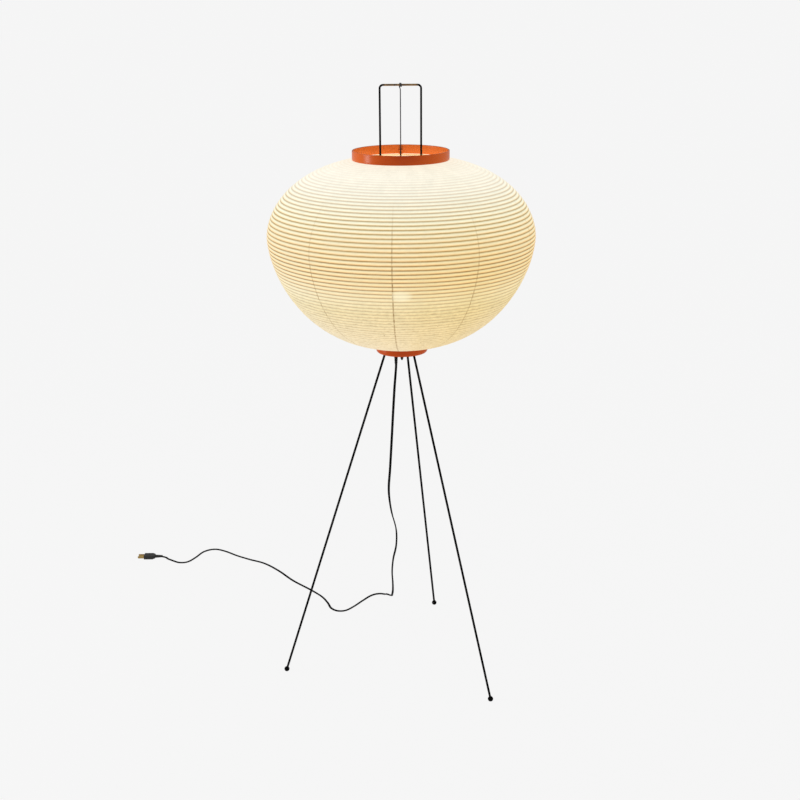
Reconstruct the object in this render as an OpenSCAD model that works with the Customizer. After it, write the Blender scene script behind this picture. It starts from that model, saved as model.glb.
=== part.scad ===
// Paper lantern floor lamp
// A pleated paper shade hangs on a wire stretcher above three thin steel legs.
// All sizes are in millimetres. Z points up, the floor is z = 0, and the lamp's axis is X = Y = 0.

/* [Shade] */
// Outer diameter of the paper shade at its widest
shade_d = 528; // [480:4:560]
// Height of the widest ring of the shade above the floor
belly_z = 932; // [920:1:955]
// Fullness of the shoulder, above the widest ring
shoulder_fullness = 2.45; // [2.2:0.05:3.2]
// How fast the shoulder leaves the widest ring
shoulder_slope = 1.9; // [1.4:0.05:2.2]
// Fullness of the bowl, below the widest ring
bowl_fullness = 2.45; // [2.1:0.05:2.8]
// How fast the bowl leaves the widest ring
bowl_slope = 1.65; // [1.5:0.05:2.2]
// Thickness of the pasted paper
paper_t = 0.6; // [0.5:0.1:1.0]
// Number of gores that the paper is pasted in
gore_count = 10; // [8:1:12]
// Distance from rib to rib along the paper
rib_pitch = 8; // [7:0.5:12]
// Width of a bamboo rib, along the paper
rib_w = 1.4; // [1.0:0.1:2.0]
// Thickness of a bamboo rib
rib_t = 0.9; // [0.6:0.1:1.2]

/* [Rings] */
// Outer diameter of the upper ring
top_ring_d = 189.2; // [170:0.2:200]
// Height of the upper ring's rim above the floor
top_rim_z = 1097.5; // [1092:0.5:1102]
// Height of the upper ring
top_ring_h = 18; // [16:0.5:22]
// Outer diameter of the lower ring
bottom_ring_d = 104; // [101:0.2:106]
// Height of the lower ring's edge above the floor
bottom_ring_z = 696; // [692:0.5:700]
// Height of the lower ring
bottom_ring_h = 16; // [13:0.5:17]
// Wall of both rings
ring_wall = 2.4; // [2.0:0.1:2.6]

/* [Legs] */
// Diameter of the steel rods of the legs
leg_d = 4.6; // [4.0:0.1:5.0]
// Radius of the circle that the three feet stand on
foot_reach = 258; // [230:1:280]
// Height at which the axes of the legs would meet
leg_apex_z = 800; // [790:1:815]
// Direction of the first leg, seen from above
leg_turn = 193.4; // [188:0.2:198]
// Diameter of the ball on each foot
foot_ball_d = 11; // [9:0.5:14]
// Diameter of the flat that each ball stands on
foot_flat_d = 3; // [2:0.5:5]

/* [Stretcher] */
// Height of the middle of the top bar above the rim of the upper ring
bail_rise = 122.5; // [100:0.5:140]
// Distance between the middles of the two uprights
bail_w = 79; // [78:1:82]
// Diameter of the wire of the frame
bail_d = 3.9; // [3.2:0.1:4.0]
// Middle radius of the two bends
bail_bend_r = 6.5; // [5:0.5:12]
// Diameter of the hanger wire
hanger_d = 2; // [1.6:0.1:2.2]
// Diameter of the cross wire in the upper ring
cross_d = 3; // [2.6:0.1:3.0]
// Height of the top of the two guide tubes above the floor
guide_top_z = 938; // [930:1:945]
// Height of the lower ends of the uprights above the floor
bail_foot_z = 900; // [896:1:906]

/* [Lampholder] */
// Diameter of the globe of the bulb
bulb_d = 60; // [50:1:66]
// Height of the middle of the globe above the floor
bulb_z = 820; // [815:1:828]
// Diameter of the switch key
key_d = 13; // [10:0.5:14]

/* [Cord] */
// Diameter of the mains cord
cord_d = 4; // [3.2:0.1:4.4]
// Length of the plug's body
plug_l = 28; // [22:1:30]
// Width of the plug's body
plug_w = 20; // [18:0.5:24]
// Height of the plug's body
plug_h = 9; // [8:0.2:9]

/* [Hidden] */
$fn = 96;

// Shade: its outer line is two arcs that meet at the widest ring
shade_r = shade_d / 2;
top_ring_r = top_ring_d / 2;
bottom_ring_r = bottom_ring_d / 2;
neck_top_z = top_rim_z - top_ring_h;
neck_bottom_z = bottom_ring_z + bottom_ring_h;
neck_top_in = 0.2;
neck_bottom_in = 0.1;
neck_top_r = top_ring_r - neck_top_in;
neck_bottom_r = bottom_ring_r - neck_bottom_in;
neck_lip = 2;
paste_gap = 0.05;
paper_top_z = neck_top_z - paste_gap;
gore_angle = 360 / gore_count;
seam_turn = -93.8;
seam_angle = 0.1;
over = 1;
arc_steps = 20;

function fullness_h(end_z, end_r, full, slope) =
    (end_z - belly_z) / pow(1 - pow(end_r / shade_r, full), 1 / slope);
function arc_point(t, end_z, end_r, full, slope) =
    let (z = belly_z + (end_z - belly_z) * sin(t))
    let (share = (z - belly_z) / fullness_h(end_z, end_r, full, slope))
    [shade_r * pow(1 - pow(share, slope), 1 / full), z];

bowl_line = [for (i = [arc_steps : -1 : 1])
    arc_point(90 * i / arc_steps, neck_bottom_z, neck_bottom_r, bowl_fullness, bowl_slope)];
shoulder_line = [for (i = [0 : arc_steps])
    arc_point(90 * i / arc_steps, paper_top_z, neck_top_r, shoulder_fullness, shoulder_slope)];
shade_line = concat(bowl_line, shoulder_line);
last = len(shade_line) - 1;

// Outward direction of the paper at a point of its line
function unit(v) = v / norm(v);
function outward(i) =
    let (along = unit(shade_line[min(i + 1, last)] - shade_line[max(i - 1, 0)]))
    [along[1], -along[0]];

// Length along the paper from the lower ring to each point
function run_to(i) = i == 0 ? 0 : run_to(i - 1) + norm(shade_line[i] - shade_line[i - 1]);
runs = [for (i = [0 : last]) run_to(i)];
paper_run = runs[last];
rib_count = floor(paper_run / rib_pitch) - 1;
rib_step = paper_run / (rib_count + 1);
rib_gap = 0.05;
r_by_run = [for (i = [0 : last]) [runs[i], shade_line[i][0]]];
z_by_run = [for (i = [0 : last]) [runs[i], shade_line[i][1]]];
function at_run(s) = [lookup(s, r_by_run), lookup(s, z_by_run)];

// Hub
ring_edge = 0.8;
flange_w = 6.5;
flange_r = bottom_ring_r - flange_w;
flange_t = 2;
plate_z = bottom_ring_z + flange_t;
plate_t = 3;
plate_top_z = plate_z + plate_t;
plate_gap = 0.2;
plate_r = bottom_ring_r - ring_wall - plate_gap;

// Legs: each one's axis runs from its foot's middle to the apex
foot_r = foot_ball_d / 2;
foot_mid_z = sqrt(pow(foot_r, 2) - pow(foot_flat_d / 2, 2));
leg_r = leg_d / 2;
leg_splay = atan2(foot_reach, leg_apex_z - foot_mid_z);
leg_fit = 0.03;
leg_hole_gap = 0.3;
socket_r = 4.5;
socket_top_z = 714;
socket_roof = 2;
function along_leg(z) = (z - foot_mid_z) / cos(leg_splay);

// Stretcher
bail_r = bail_d / 2;
bail_x = bail_w / 2;
bail_z = top_rim_z + bail_rise;
hanger_r = hanger_d / 2;
cross_r = cross_d / 2;
cross_rise = 3.5;
cross_z = neck_top_z + cross_rise;
lug_w = 8;
lug_h = 8;
lug_l = 5.2;
cross_end_y = top_ring_r - ring_wall - lug_l;
guide_r = 3;
guide_gap = 0.1;
guide_bore_r = bail_r + guide_gap;
collar_r = 5.5;
collar_h = 7.5;
seat_gap = 0.02;
ferrule_r = 4.3;
ferrule_h = 8;
ferrule_lip = 4;
ferrule_edge = 1;
slide_fit = 0.06;
ferrule_bore_r = bail_r + slide_fit;
guide_screw_r = guide_bore_r - seat_gap;
guide_screw_head_r = 2.9;
guide_screw_head_h = 2;
guide_screw_top_z = 707;
eye_gap = 0.1;
eye_r = bail_r + eye_gap + hanger_r;
eye_turn_x = hanger_r + seat_gap;
hook_gap = 0.2;
hook_r = cross_r + hook_gap + hanger_r;
hook_open = 90;

// Lampholder
stud_r = 3;
stud_tip_z = 676;
stud_tip_h = 3;
stud_tip_r = 1.6;
stud_top_z = 717;
nut_af = 10;
nut_h = 5;
nut_fit = 0.02;
spacer_r = 6.6;
cap_z = 708;
cap_top_z = 730;
cap_foot_r = 14;
cap_r = 20.5;
cap_shoulder_z = 716;
cap_wall = 2.5;
cap_floor = 3;
cap_floor_r = 12;
cap_inner_z = 717;
holder_shell_r = 19.5;
holder_shell_top_z = 764;
holder_shell_foot_z = 735;
holder_bore_r = 13.6;
core_top_z = 733;
core_z = 719;
contact_r = 3;
contact_h = 2;
bulb_cap_r = 13.3;
bulb_cap_rise = 1;
bulb_cap_top_z = holder_shell_top_z + bulb_cap_rise;
bulb_cap_foot_z = core_top_z + contact_h;
bulb_tip_r = 4;
bulb_tip_h = 2;
bulb_taper_r = 12;
bulb_taper_h = 4;
bulb_roll_h = 1;
bulb_neck_r = 14.5;
bulb_neck_l = 6;
bulb_wall = 1.2;
key_z = 724.5;
key_shaft_r = 2;
key_fit = 0.06;
key_in_y = 18.2;
key_grip_y = 22;
key_grip_l = 9;
key_disc_t = 2;
key_wing_w = 4;

// Cord gland
gland_x = -12;
gland_y = 5;
gland_r = 4.6;
gland_z = 690;
gland_nose_r = 3.4;
gland_flange_r = 6;
gland_flange_h = 2.5;
gland_top_z = 705.5;
gland_nut_h = 3;
lead_r = 1;
lead_x = 1.6;

// Route of the cord, from the gland to the plug
route = [
    [-12, 5, 690], [-12, 5, 662], [-15.5, 12, 615], [-19, 27, 555], [-22.5, 42, 490],
    [-26.5, 57, 420], [-30, 72, 362], [-25, 88, 308], [-15, 104, 258], [-15, 121, 212],
    [-22, 139, 170], [-25, 162, 128], [-24, 190, 88], [-24, 220, 53], [-26, 250, 26],
    [-28.7, 276.2, 10], [-39.6, 296.5, 3.5], [-57.9, 302.9, 2.4], [-76.8, 293.4, 2.4],
    [-97, 266, 2.4], [-117.7, 234.9, 2.4], [-136.3, 215.7, 2.4], [-155.4, 214.8, 2.4],
    [-170.6, 229.4, 2.4], [-179.9, 256.1, 2.4], [-196, 289, 2.4], [-226, 327, 2.4],
    [-272, 378, 2.4], [-312, 434, 2.4], [-352, 478, 2.4], [-392, 502, 2.4], [-428, 526, 2.4],
    [-462, 554, 2.4], [-491, 567, 2.4], [-517, 553, 2.4], [-534, 516, 2.4], [-550, 491, 2.4],
    [-571, 487, 2.4], [-594, 502, 2.4], [-612, 516, 3.4], [-630, 520, 4.6]
];
steps = 2;
cord_sides = 8;
cord_r = cord_d / 2;

// Smooth curve through the route's points
function route_point(i) =
    i < 0 ? 2 * route[0] - route[1]
    : i > len(route) - 1 ? 2 * route[len(route) - 1] - route[len(route) - 2]
    : route[i];
function smooth(a, b, c, d, t) =
    0.5 * (2 * b + (c - a) * t + (2 * a - 5 * b + 4 * c - d) * t * t
    + (3 * b - 3 * c + d - a) * t * t * t);
cord_line = [
    for (i = [0 : len(route) - 2])
        for (k = [0 : steps - 1])
            smooth(route_point(i - 1), route_point(i), route_point(i + 1), route_point(i + 2), k / steps),
    route[len(route) - 1]
];
cord_last = len(cord_line) - 1;
function cord_way(i) =
    i == 0 ? [0, 0, -1]
    : i == cord_last ? [-1, 0, 0]
    : unit(cord_line[i + 1] - cord_line[i - 1]);
function squared(v, way) = unit(v - (v * way) * way);
function cord_sides_from(i, side) =
    i > cord_last ? []
    : let (now = squared(side, cord_way(i))) concat([now], cord_sides_from(i + 1, now));
cord_side = cord_sides_from(0, [1, 0, 0]);
cord_rings = [
    for (i = [0 : cord_last])
        let (side = cord_side[i], other = cross(cord_way(i), cord_side[i]))
        for (k = [0 : cord_sides - 1])
            cord_line[i] + cord_r * (cos(360 * k / cord_sides) * side
                + sin(360 * k / cord_sides) * other)
];
cord_walls = [
    for (i = [0 : cord_last - 1])
        for (k = [0 : cord_sides - 1])
            let (n = (k + 1) % cord_sides)
            [(i + 1) * cord_sides + k, (i + 1) * cord_sides + n, i * cord_sides + n, i * cord_sides + k]
];
cord_start = [for (k = [0 : cord_sides - 1]) k];
cord_end = [for (k = [cord_sides - 1 : -1 : 0]) cord_last * cord_sides + k];

// Plug
plug_x = -630;
plug_y = 520;
plug_z = 4.6;
plug_neck_l = 8;
plug_neck_r = 3;
plug_nose_w = 14;
plug_nose_l = 6;
blade_l = 16;
blade_w = 1.5;
blade_h = 6;
blade_pitch = 12.7;

black = [0.05, 0.05, 0.05];
orange = [0.72, 0.26, 0.08];
cream = [0.96, 0.90, 0.74];
bamboo = [0.70, 0.58, 0.36];
steel = [0.60, 0.60, 0.62];
brass = [0.75, 0.62, 0.32];

// Places its children on the axis of one leg, with +Z from the foot to the apex
module on_leg(index) {
    rotate([0, 0, leg_turn + 120 * index])
    translate([foot_reach, 0, foot_mid_z])
    rotate([0, -leg_splay, 0])
    children();
}

// Places one child at each of the two uprights of the stretcher
module at_uprights() {
    for (side = [-1, 1])
        translate([side * bail_x, 0, 0])
        children();
}

module hex_nut(af, h, bore_r) {
    difference() {
        cylinder(r = af / sqrt(3), h = h, $fn = 6);
        translate([0, 0, -over])
        cylinder(r = bore_r, h = h + 2 * over);
    }
}

module leg(index) {
    color(black)
    on_leg(index)
    cylinder(r = leg_r, h = along_leg(socket_top_z) - socket_roof);
}

module leg_left() {
    leg(0);
}

module leg_right() {
    leg(1);
}

module leg_back() {
    leg(2);
}

module foot_balls() {
    color(black)
    for (index = [0 : 2])
        difference() {
            on_leg(index)
            difference() {
                sphere(r = foot_r);
                cylinder(r = leg_r + leg_fit, h = foot_ball_d);
            }
            translate([0, 0, -foot_ball_d])
            cylinder(r = foot_reach + foot_ball_d, h = foot_ball_d);
        }
}

module leg_sockets() {
    color(black)
    for (index = [0 : 2])
        difference() {
            on_leg(index)
            translate([0, 0, along_leg(plate_z)])
            difference() {
                cylinder(r = socket_r, h = along_leg(socket_top_z) - along_leg(plate_z));
                translate([0, 0, -over])
                cylinder(
                    r = leg_r + leg_fit,
                    h = along_leg(socket_top_z) - along_leg(plate_z) - socket_roof + over
                );
            }
            translate([0, 0, plate_top_z - 2 * plate_t])
            cylinder(r = plate_r, h = 2 * plate_t);
        }
}

module hub_plate() {
    color(black)
    difference() {
        translate([0, 0, plate_z])
        cylinder(r = plate_r, h = plate_t);
        for (index = [0 : 2])
            on_leg(index)
            translate([0, 0, along_leg(plate_z - 2 * plate_t)])
            cylinder(r = leg_r + leg_hole_gap, h = 5 * plate_t);
        translate([0, 0, plate_z - over])
        cylinder(r = stud_r + nut_fit, h = plate_t + 2 * over);
        translate([gland_x, gland_y, plate_z - over])
        cylinder(r = gland_r + nut_fit, h = plate_t + 2 * over);
        at_uprights()
        translate([0, 0, plate_z - over])
        cylinder(r = guide_screw_r + nut_fit, h = plate_t + 2 * over);
    }
}

module centre_stud() {
    color(steel) {
        translate([0, 0, stud_tip_z + stud_tip_h])
        cylinder(r = stud_r, h = stud_top_z - stud_tip_z - stud_tip_h);
        translate([0, 0, stud_tip_z])
        cylinder(r1 = stud_tip_r, r2 = stud_r, h = stud_tip_h);
    }
}

module stud_nuts() {
    color(steel) {
        translate([0, 0, plate_z - nut_h])
        hex_nut(nut_af, nut_h, stud_r + nut_fit);
        translate([0, 0, cap_z + cap_floor])
        hex_nut(nut_af, nut_h, stud_r + nut_fit);
    }
}

module holder_spacer() {
    color(brass)
    translate([0, 0, plate_top_z])
    difference() {
        cylinder(r = spacer_r, h = cap_z - plate_top_z);
        translate([0, 0, -over])
        cylinder(r = stud_r + nut_fit, h = cap_z - plate_top_z + 2 * over);
    }
}

module holder_cap() {
    color(black)
    difference() {
        rotate_extrude()
        polygon([
            [stud_r + nut_fit, cap_z], [cap_foot_r, cap_z], [cap_r, cap_shoulder_z],
            [cap_r, cap_top_z], [cap_r - cap_wall, cap_top_z],
            [cap_r - cap_wall, cap_inner_z], [cap_floor_r, cap_z + cap_floor],
            [stud_r + nut_fit, cap_z + cap_floor]
        ]);
        translate([0, 0, key_z])
        rotate([90, 0, 0])
        cylinder(r = key_shaft_r + key_fit, h = cap_r + over);
        translate([gland_x, gland_y, cap_z - over])
        cylinder(r = 2 * lead_r + lead_x, h = cap_floor + 2 * over);
    }
}

module holder_core() {
    color(cream)
    translate([0, 0, core_z])
    cylinder(r = cap_r - cap_wall - seat_gap, h = core_top_z - core_z);
}

module holder_contact() {
    color(brass)
    translate([0, 0, core_top_z])
    cylinder(r = contact_r, h = contact_h);
}

module holder_shell() {
    color(black)
    rotate_extrude()
    polygon([
        [cap_r - cap_wall, cap_top_z], [cap_r, cap_top_z], [holder_shell_r, holder_shell_foot_z],
        [holder_shell_r, holder_shell_top_z], [holder_bore_r, holder_shell_top_z],
        [holder_bore_r, core_top_z], [cap_r - cap_wall, core_top_z]
    ]);
}

// The key turns about its shaft, which points to the front
module switch_key() {
    color(black)
    translate([0, 0, key_z])
    rotate([90, 0, 0]) {
        translate([0, 0, key_in_y])
        cylinder(r = key_shaft_r, h = key_grip_y - key_in_y);
        translate([0, 0, key_grip_y])
        cylinder(r = key_d / 2, h = key_disc_t);
        translate([0, 0, key_grip_y + key_disc_t])
        intersection() {
            cylinder(r = key_d / 2, h = key_grip_l - key_disc_t);
            translate([-key_d, -key_wing_w / 2, 0])
            cube([2 * key_d, key_wing_w, key_grip_l]);
        }
    }
}

module bulb_cap() {
    color(steel)
    rotate_extrude()
    polygon([
        [0, bulb_cap_foot_z], [bulb_tip_r, bulb_cap_foot_z],
        [bulb_tip_r, bulb_cap_foot_z + bulb_tip_h],
        [bulb_taper_r, bulb_cap_foot_z + bulb_tip_h + bulb_taper_h],
        [bulb_cap_r, bulb_cap_foot_z + bulb_tip_h + bulb_taper_h + bulb_roll_h],
        [bulb_cap_r, bulb_cap_top_z], [0, bulb_cap_top_z]
    ]);
}

// Line of the globe and its neck, from the top down
globe_turn = 130;
function globe_line(r) = concat(
    [for (a = [0 : 10 : globe_turn]) [r * sin(a), bulb_z + r * cos(a)]],
    [
        [r - bulb_d / 2 + bulb_neck_r, bulb_cap_top_z + bulb_neck_l],
        [r - bulb_d / 2 + bulb_neck_r, bulb_cap_top_z]
    ]
);
function reversed(line) = [for (i = [len(line) - 1 : -1 : 0]) line[i]];

module bulb_glass() {
    color(cream)
    rotate_extrude()
    polygon(concat(globe_line(bulb_d / 2), reversed(globe_line(bulb_d / 2 - bulb_wall))));
}

module cord_gland() {
    color(black)
    translate([gland_x, gland_y, 0])
    rotate_extrude()
    polygon([
        [0, gland_z], [gland_nose_r, gland_z], [gland_r, plate_z - gland_flange_h],
        [gland_flange_r, plate_z - gland_flange_h], [gland_flange_r, plate_z],
        [gland_r, plate_z], [gland_r, gland_top_z], [0, gland_top_z]
    ]);
}

module gland_nut() {
    color(black)
    translate([gland_x, gland_y, plate_top_z])
    hex_nut(nut_af, gland_nut_h, gland_r + nut_fit);
}

// Two cores of the cord, from the gland up into the lampholder
module lead_wires() {
    color(cream)
    for (side = [-1, 1])
        translate([gland_x + side * lead_x, gland_y, gland_top_z])
        cylinder(r = lead_r, h = cap_z + cap_floor - gland_top_z);
}

module guide_tubes() {
    color(black)
    at_uprights()
    translate([0, 0, plate_top_z])
    difference() {
        cylinder(r = guide_r, h = guide_top_z - plate_top_z);
        translate([0, 0, -over])
        cylinder(r = guide_bore_r, h = guide_top_z - plate_top_z + 2 * over);
    }
}

module guide_collars() {
    color(black)
    at_uprights()
    translate([0, 0, plate_top_z])
    difference() {
        cylinder(r = collar_r, h = collar_h);
        translate([0, 0, -over])
        cylinder(r = guide_r + seat_gap, h = collar_h + 2 * over);
    }
}

module guide_screws() {
    color(steel)
    at_uprights() {
        translate([0, 0, plate_z - guide_screw_head_h])
        cylinder(r = guide_screw_head_r, h = guide_screw_head_h);
        translate([0, 0, plate_z])
        cylinder(r = guide_screw_r, h = guide_screw_top_z - plate_z);
    }
}

module guide_ferrules() {
    color(steel)
    at_uprights()
    rotate_extrude()
    polygon([
        [guide_r + seat_gap, guide_top_z - ferrule_h], [ferrule_r, guide_top_z - ferrule_h],
        [ferrule_r, guide_top_z + ferrule_lip - ferrule_edge],
        [ferrule_r - ferrule_edge, guide_top_z + ferrule_lip],
        [ferrule_bore_r, guide_top_z + ferrule_lip], [ferrule_bore_r, guide_top_z],
        [guide_r + seat_gap, guide_top_z]
    ]);
}

module bail() {
    color(black) {
        for (side = [-1, 1])
            translate([side * bail_x, 0, bail_foot_z])
            cylinder(r = bail_r, h = bail_z - bail_bend_r - bail_foot_z);
        for (turn = [0, 180])
            rotate([0, 0, turn])
            translate([bail_x - bail_bend_r, 0, bail_z - bail_bend_r])
            rotate([90, 0, 0])
            rotate_extrude(angle = 90)
            translate([bail_bend_r, 0])
            circle(r = bail_r);
        translate([bail_bend_r - bail_x, 0, bail_z])
        rotate([0, 90, 0])
        cylinder(r = bail_r, h = bail_w - 2 * bail_bend_r);
    }
}

module hanger_wire() {
    color(black) {
        for (side = [-1, 1])
            translate([side * eye_turn_x, 0, bail_z])
            rotate([0, 90, 0])
            rotate_extrude()
            translate([eye_r, 0])
            circle(r = hanger_r);
        translate([0, 0, cross_z + hook_r])
        cylinder(r = hanger_r, h = bail_z - eye_r - cross_z - hook_r);
        translate([0, 0, cross_z])
        rotate([90, 90, 0])
        rotate_extrude(angle = hook_open - 360)
        translate([hook_r, 0])
        circle(r = hanger_r);
    }
}

module cross_wire() {
    color(black)
    translate([0, cross_end_y, cross_z])
    rotate([90, 0, 0])
    cylinder(r = cross_r, h = 2 * cross_end_y);
}

module ring_lugs() {
    color(steel)
    for (turn = [0, 180])
        rotate([0, 0, turn])
        intersection() {
            translate([-lug_w / 2, cross_end_y, neck_top_z])
            cube([lug_w, top_ring_r, lug_h]);
            translate([0, 0, neck_top_z - over])
            cylinder(r = top_ring_r - ring_wall - seat_gap, h = lug_h + 2 * over);
        }
}

module top_ring() {
    color(orange)
    rotate_extrude()
    polygon([
        [top_ring_r - ring_wall, neck_top_z], [top_ring_r, neck_top_z],
        [top_ring_r, top_rim_z - ring_edge], [top_ring_r - ring_edge, top_rim_z],
        [top_ring_r - ring_wall + ring_edge, top_rim_z],
        [top_ring_r - ring_wall, top_rim_z - ring_edge]
    ]);
}

module bottom_ring() {
    color(orange)
    rotate_extrude()
    polygon([
        [flange_r, bottom_ring_z], [bottom_ring_r - 2 * ring_edge, bottom_ring_z],
        [bottom_ring_r, bottom_ring_z + 2 * ring_edge], [bottom_ring_r, neck_bottom_z],
        [bottom_ring_r - ring_wall, neck_bottom_z], [bottom_ring_r - ring_wall, plate_z],
        [flange_r, plate_z]
    ]);
}

module paper_skin() {
    color(cream)
    for (index = [0 : gore_count - 1])
        rotate([0, 0, seam_turn + gore_angle * index + seam_angle / 2])
        rotate_extrude(angle = gore_angle - seam_angle)
        polygon(concat(
            [[neck_bottom_r - neck_lip, neck_bottom_z]],
            shade_line,
            [[neck_top_r - neck_lip, paper_top_z], [neck_top_r - neck_lip, paper_top_z - paper_t]],
            [for (i = [last : -1 : 0]) shade_line[i] - paper_t * outward(i)],
            [[neck_bottom_r - neck_lip, neck_bottom_z + paper_t]]
        ));
}

module shade_ribs() {
    color(bamboo)
    for (k = [1 : rib_count]) {
        here = at_run(k * rib_step);
        way = unit(at_run((k + 0.5) * rib_step) - at_run((k - 0.5) * rib_step));
        middle = here - (paper_t + rib_gap + rib_t) * [way[1], -way[0]];
        rotate_extrude()
        translate(middle)
        rotate([0, 0, atan2(way[1], way[0])])
        square([rib_w, rib_t], center = true);
    }
}

module mains_cord() {
    color(black)
    polyhedron(points = cord_rings, faces = concat([cord_start], cord_walls, [cord_end]), convexity = 8);
}

module plug_body() {
    color(black)
    translate([plug_x, plug_y, plug_z]) {
        translate([-plug_neck_l, 0, 0])
        rotate([0, 90, 0])
        cylinder(r = plug_neck_r, h = plug_neck_l);
        translate([-plug_neck_l - plug_l, 0, -plug_h / 2])
        linear_extrude(plug_h)
        polygon([
            [0, -plug_w / 2], [plug_l - plug_nose_l, -plug_w / 2], [plug_l, -plug_nose_w / 2],
            [plug_l, plug_nose_w / 2], [plug_l - plug_nose_l, plug_w / 2], [0, plug_w / 2]
        ]);
    }
}

module plug_blades() {
    color(brass)
    for (side = [-1, 1])
        translate([
            plug_x - plug_neck_l - plug_l - blade_l,
            plug_y + side * blade_pitch / 2 - blade_w / 2,
            plug_z - blade_h / 2
        ])
        cube([blade_l, blade_w, blade_h]);
}

leg_left();
leg_right();
leg_back();
foot_balls();
leg_sockets();
hub_plate();
centre_stud();
stud_nuts();
holder_spacer();
holder_cap();
holder_core();
holder_contact();
holder_shell();
switch_key();
bulb_cap();
bulb_glass();
cord_gland();
gland_nut();
lead_wires();
guide_tubes();
guide_collars();
guide_screws();
guide_ferrules();
bail();
hanger_wire();
cross_wire();
ring_lugs();
top_ring();
bottom_ring();
paper_skin();
shade_ribs();
mains_cord();
plug_body();
plug_blades();
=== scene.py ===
import math

import bmesh
import bpy
import numpy as np
from mathutils import Matrix, Vector


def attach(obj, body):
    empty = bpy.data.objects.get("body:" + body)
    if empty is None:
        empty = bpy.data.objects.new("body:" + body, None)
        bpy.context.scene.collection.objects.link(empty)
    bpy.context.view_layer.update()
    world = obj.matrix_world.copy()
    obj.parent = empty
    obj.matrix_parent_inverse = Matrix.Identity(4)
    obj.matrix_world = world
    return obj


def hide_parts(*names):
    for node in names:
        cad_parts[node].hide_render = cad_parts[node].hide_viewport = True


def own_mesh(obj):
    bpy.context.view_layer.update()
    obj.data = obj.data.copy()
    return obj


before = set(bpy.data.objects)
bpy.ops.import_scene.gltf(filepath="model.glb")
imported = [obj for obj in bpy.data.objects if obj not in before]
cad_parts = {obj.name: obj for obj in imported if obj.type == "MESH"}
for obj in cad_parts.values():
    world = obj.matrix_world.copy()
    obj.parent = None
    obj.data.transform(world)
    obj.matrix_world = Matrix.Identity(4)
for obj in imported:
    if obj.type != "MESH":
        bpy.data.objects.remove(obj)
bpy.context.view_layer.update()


# ---- Camera
# It stands two and a half metres in front of the lamp, a little higher than the stretcher's
# bar, and looks down on the shade and the legs.
camera_place = (-0.0045, -2.50155, 1.3942)
camera_down = 0.3109
camera_roll = -0.0065


def in_scene(name, data):
    """A new object of the data, put into the scene."""
    thing = bpy.data.objects.new(name, data)
    bpy.context.scene.collection.objects.link(thing)
    return thing


camera_data = bpy.data.cameras.new("camera")
camera_data.lens = 57.615
camera_data.sensor_width = 36
camera = in_scene("camera", camera_data)
camera.matrix_world = (
    Matrix.Translation(camera_place)
    @ Matrix.Rotation(math.pi / 2 - camera_down, 4, "X")
    @ Matrix.Rotation(camera_roll, 4, "Z")
)
bpy.context.scene.camera = camera
bpy.context.scene.view_settings.view_transform = "Standard"


# ---- Mains cord
# Flat two-core flex, two black PVC sleeves moulded side by side. It drops from the hub,
# turns on its edge halfway down, and lies flat on the floor away to the left.
cord_route = [
    (-0.012, 0.005, 0.690), (-0.012, 0.005, 0.662), (-0.0155, 0.012, 0.615),
    (-0.019, 0.027, 0.555), (-0.0225, 0.042, 0.490), (-0.0265, 0.057, 0.420),
    (-0.030, 0.072, 0.362), (-0.025, 0.088, 0.308), (-0.015, 0.104, 0.258),
    (-0.015, 0.121, 0.212), (-0.022, 0.139, 0.170), (-0.025, 0.162, 0.128),
    (-0.024, 0.190, 0.088), (-0.024, 0.220, 0.053), (-0.026, 0.250, 0.026),
    (-0.0287, 0.2762, 0.010), (-0.0396, 0.2965, 0.0035), (-0.0579, 0.3029, 0.0024),
    (-0.0768, 0.2934, 0.0024), (-0.097, 0.266, 0.0024), (-0.1177, 0.2349, 0.0024),
    (-0.1363, 0.2157, 0.0024), (-0.1554, 0.2148, 0.0024), (-0.1706, 0.2294, 0.0024),
    (-0.1799, 0.2561, 0.0024), (-0.196, 0.289, 0.0024), (-0.226, 0.327, 0.0024),
    (-0.272, 0.378, 0.0024), (-0.312, 0.434, 0.0024), (-0.352, 0.478, 0.0024),
    (-0.392, 0.502, 0.0024), (-0.428, 0.526, 0.0024), (-0.462, 0.554, 0.0024),
    (-0.491, 0.567, 0.0024), (-0.517, 0.553, 0.0024), (-0.534, 0.516, 0.0024),
    (-0.550, 0.491, 0.0024), (-0.571, 0.487, 0.0024), (-0.594, 0.502, 0.0024),
    (-0.612, 0.516, 0.0034), (-0.630, 0.520, 0.0046),
]
cord_lie = [
    0, 0, 5, 10, 15, 15, 20, 35, 60, 80, 85, 75, 60, 45, 30, 15, 5, 0, 0, 10, 20,
    10, 0, 0, 10, 15, 5, 0, 0, 0, 5, 10, 5, 0, 0, 10, 5, 0, 0, 0, 0,
]
cord_width = 0.0052
cord_height = 0.0030
core_r = cord_height / 2
core_x = (cord_width - cord_height) / 2
on_floor = 0.0030
off_floor = 0.0001
lobe_points = 8
lobe_start = -140
lobe_step = 35


def smooth(a, b, c, d, t):
    """The point at share t of the way from b to c, on a smooth curve that comes from a and goes on to d."""
    return 0.5 * (2 * b + (c - a) * t + (2 * a - 5 * b + 4 * c - d) * t * t
                  + (3 * b - 3 * c + d - a) * t * t * t)


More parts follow.
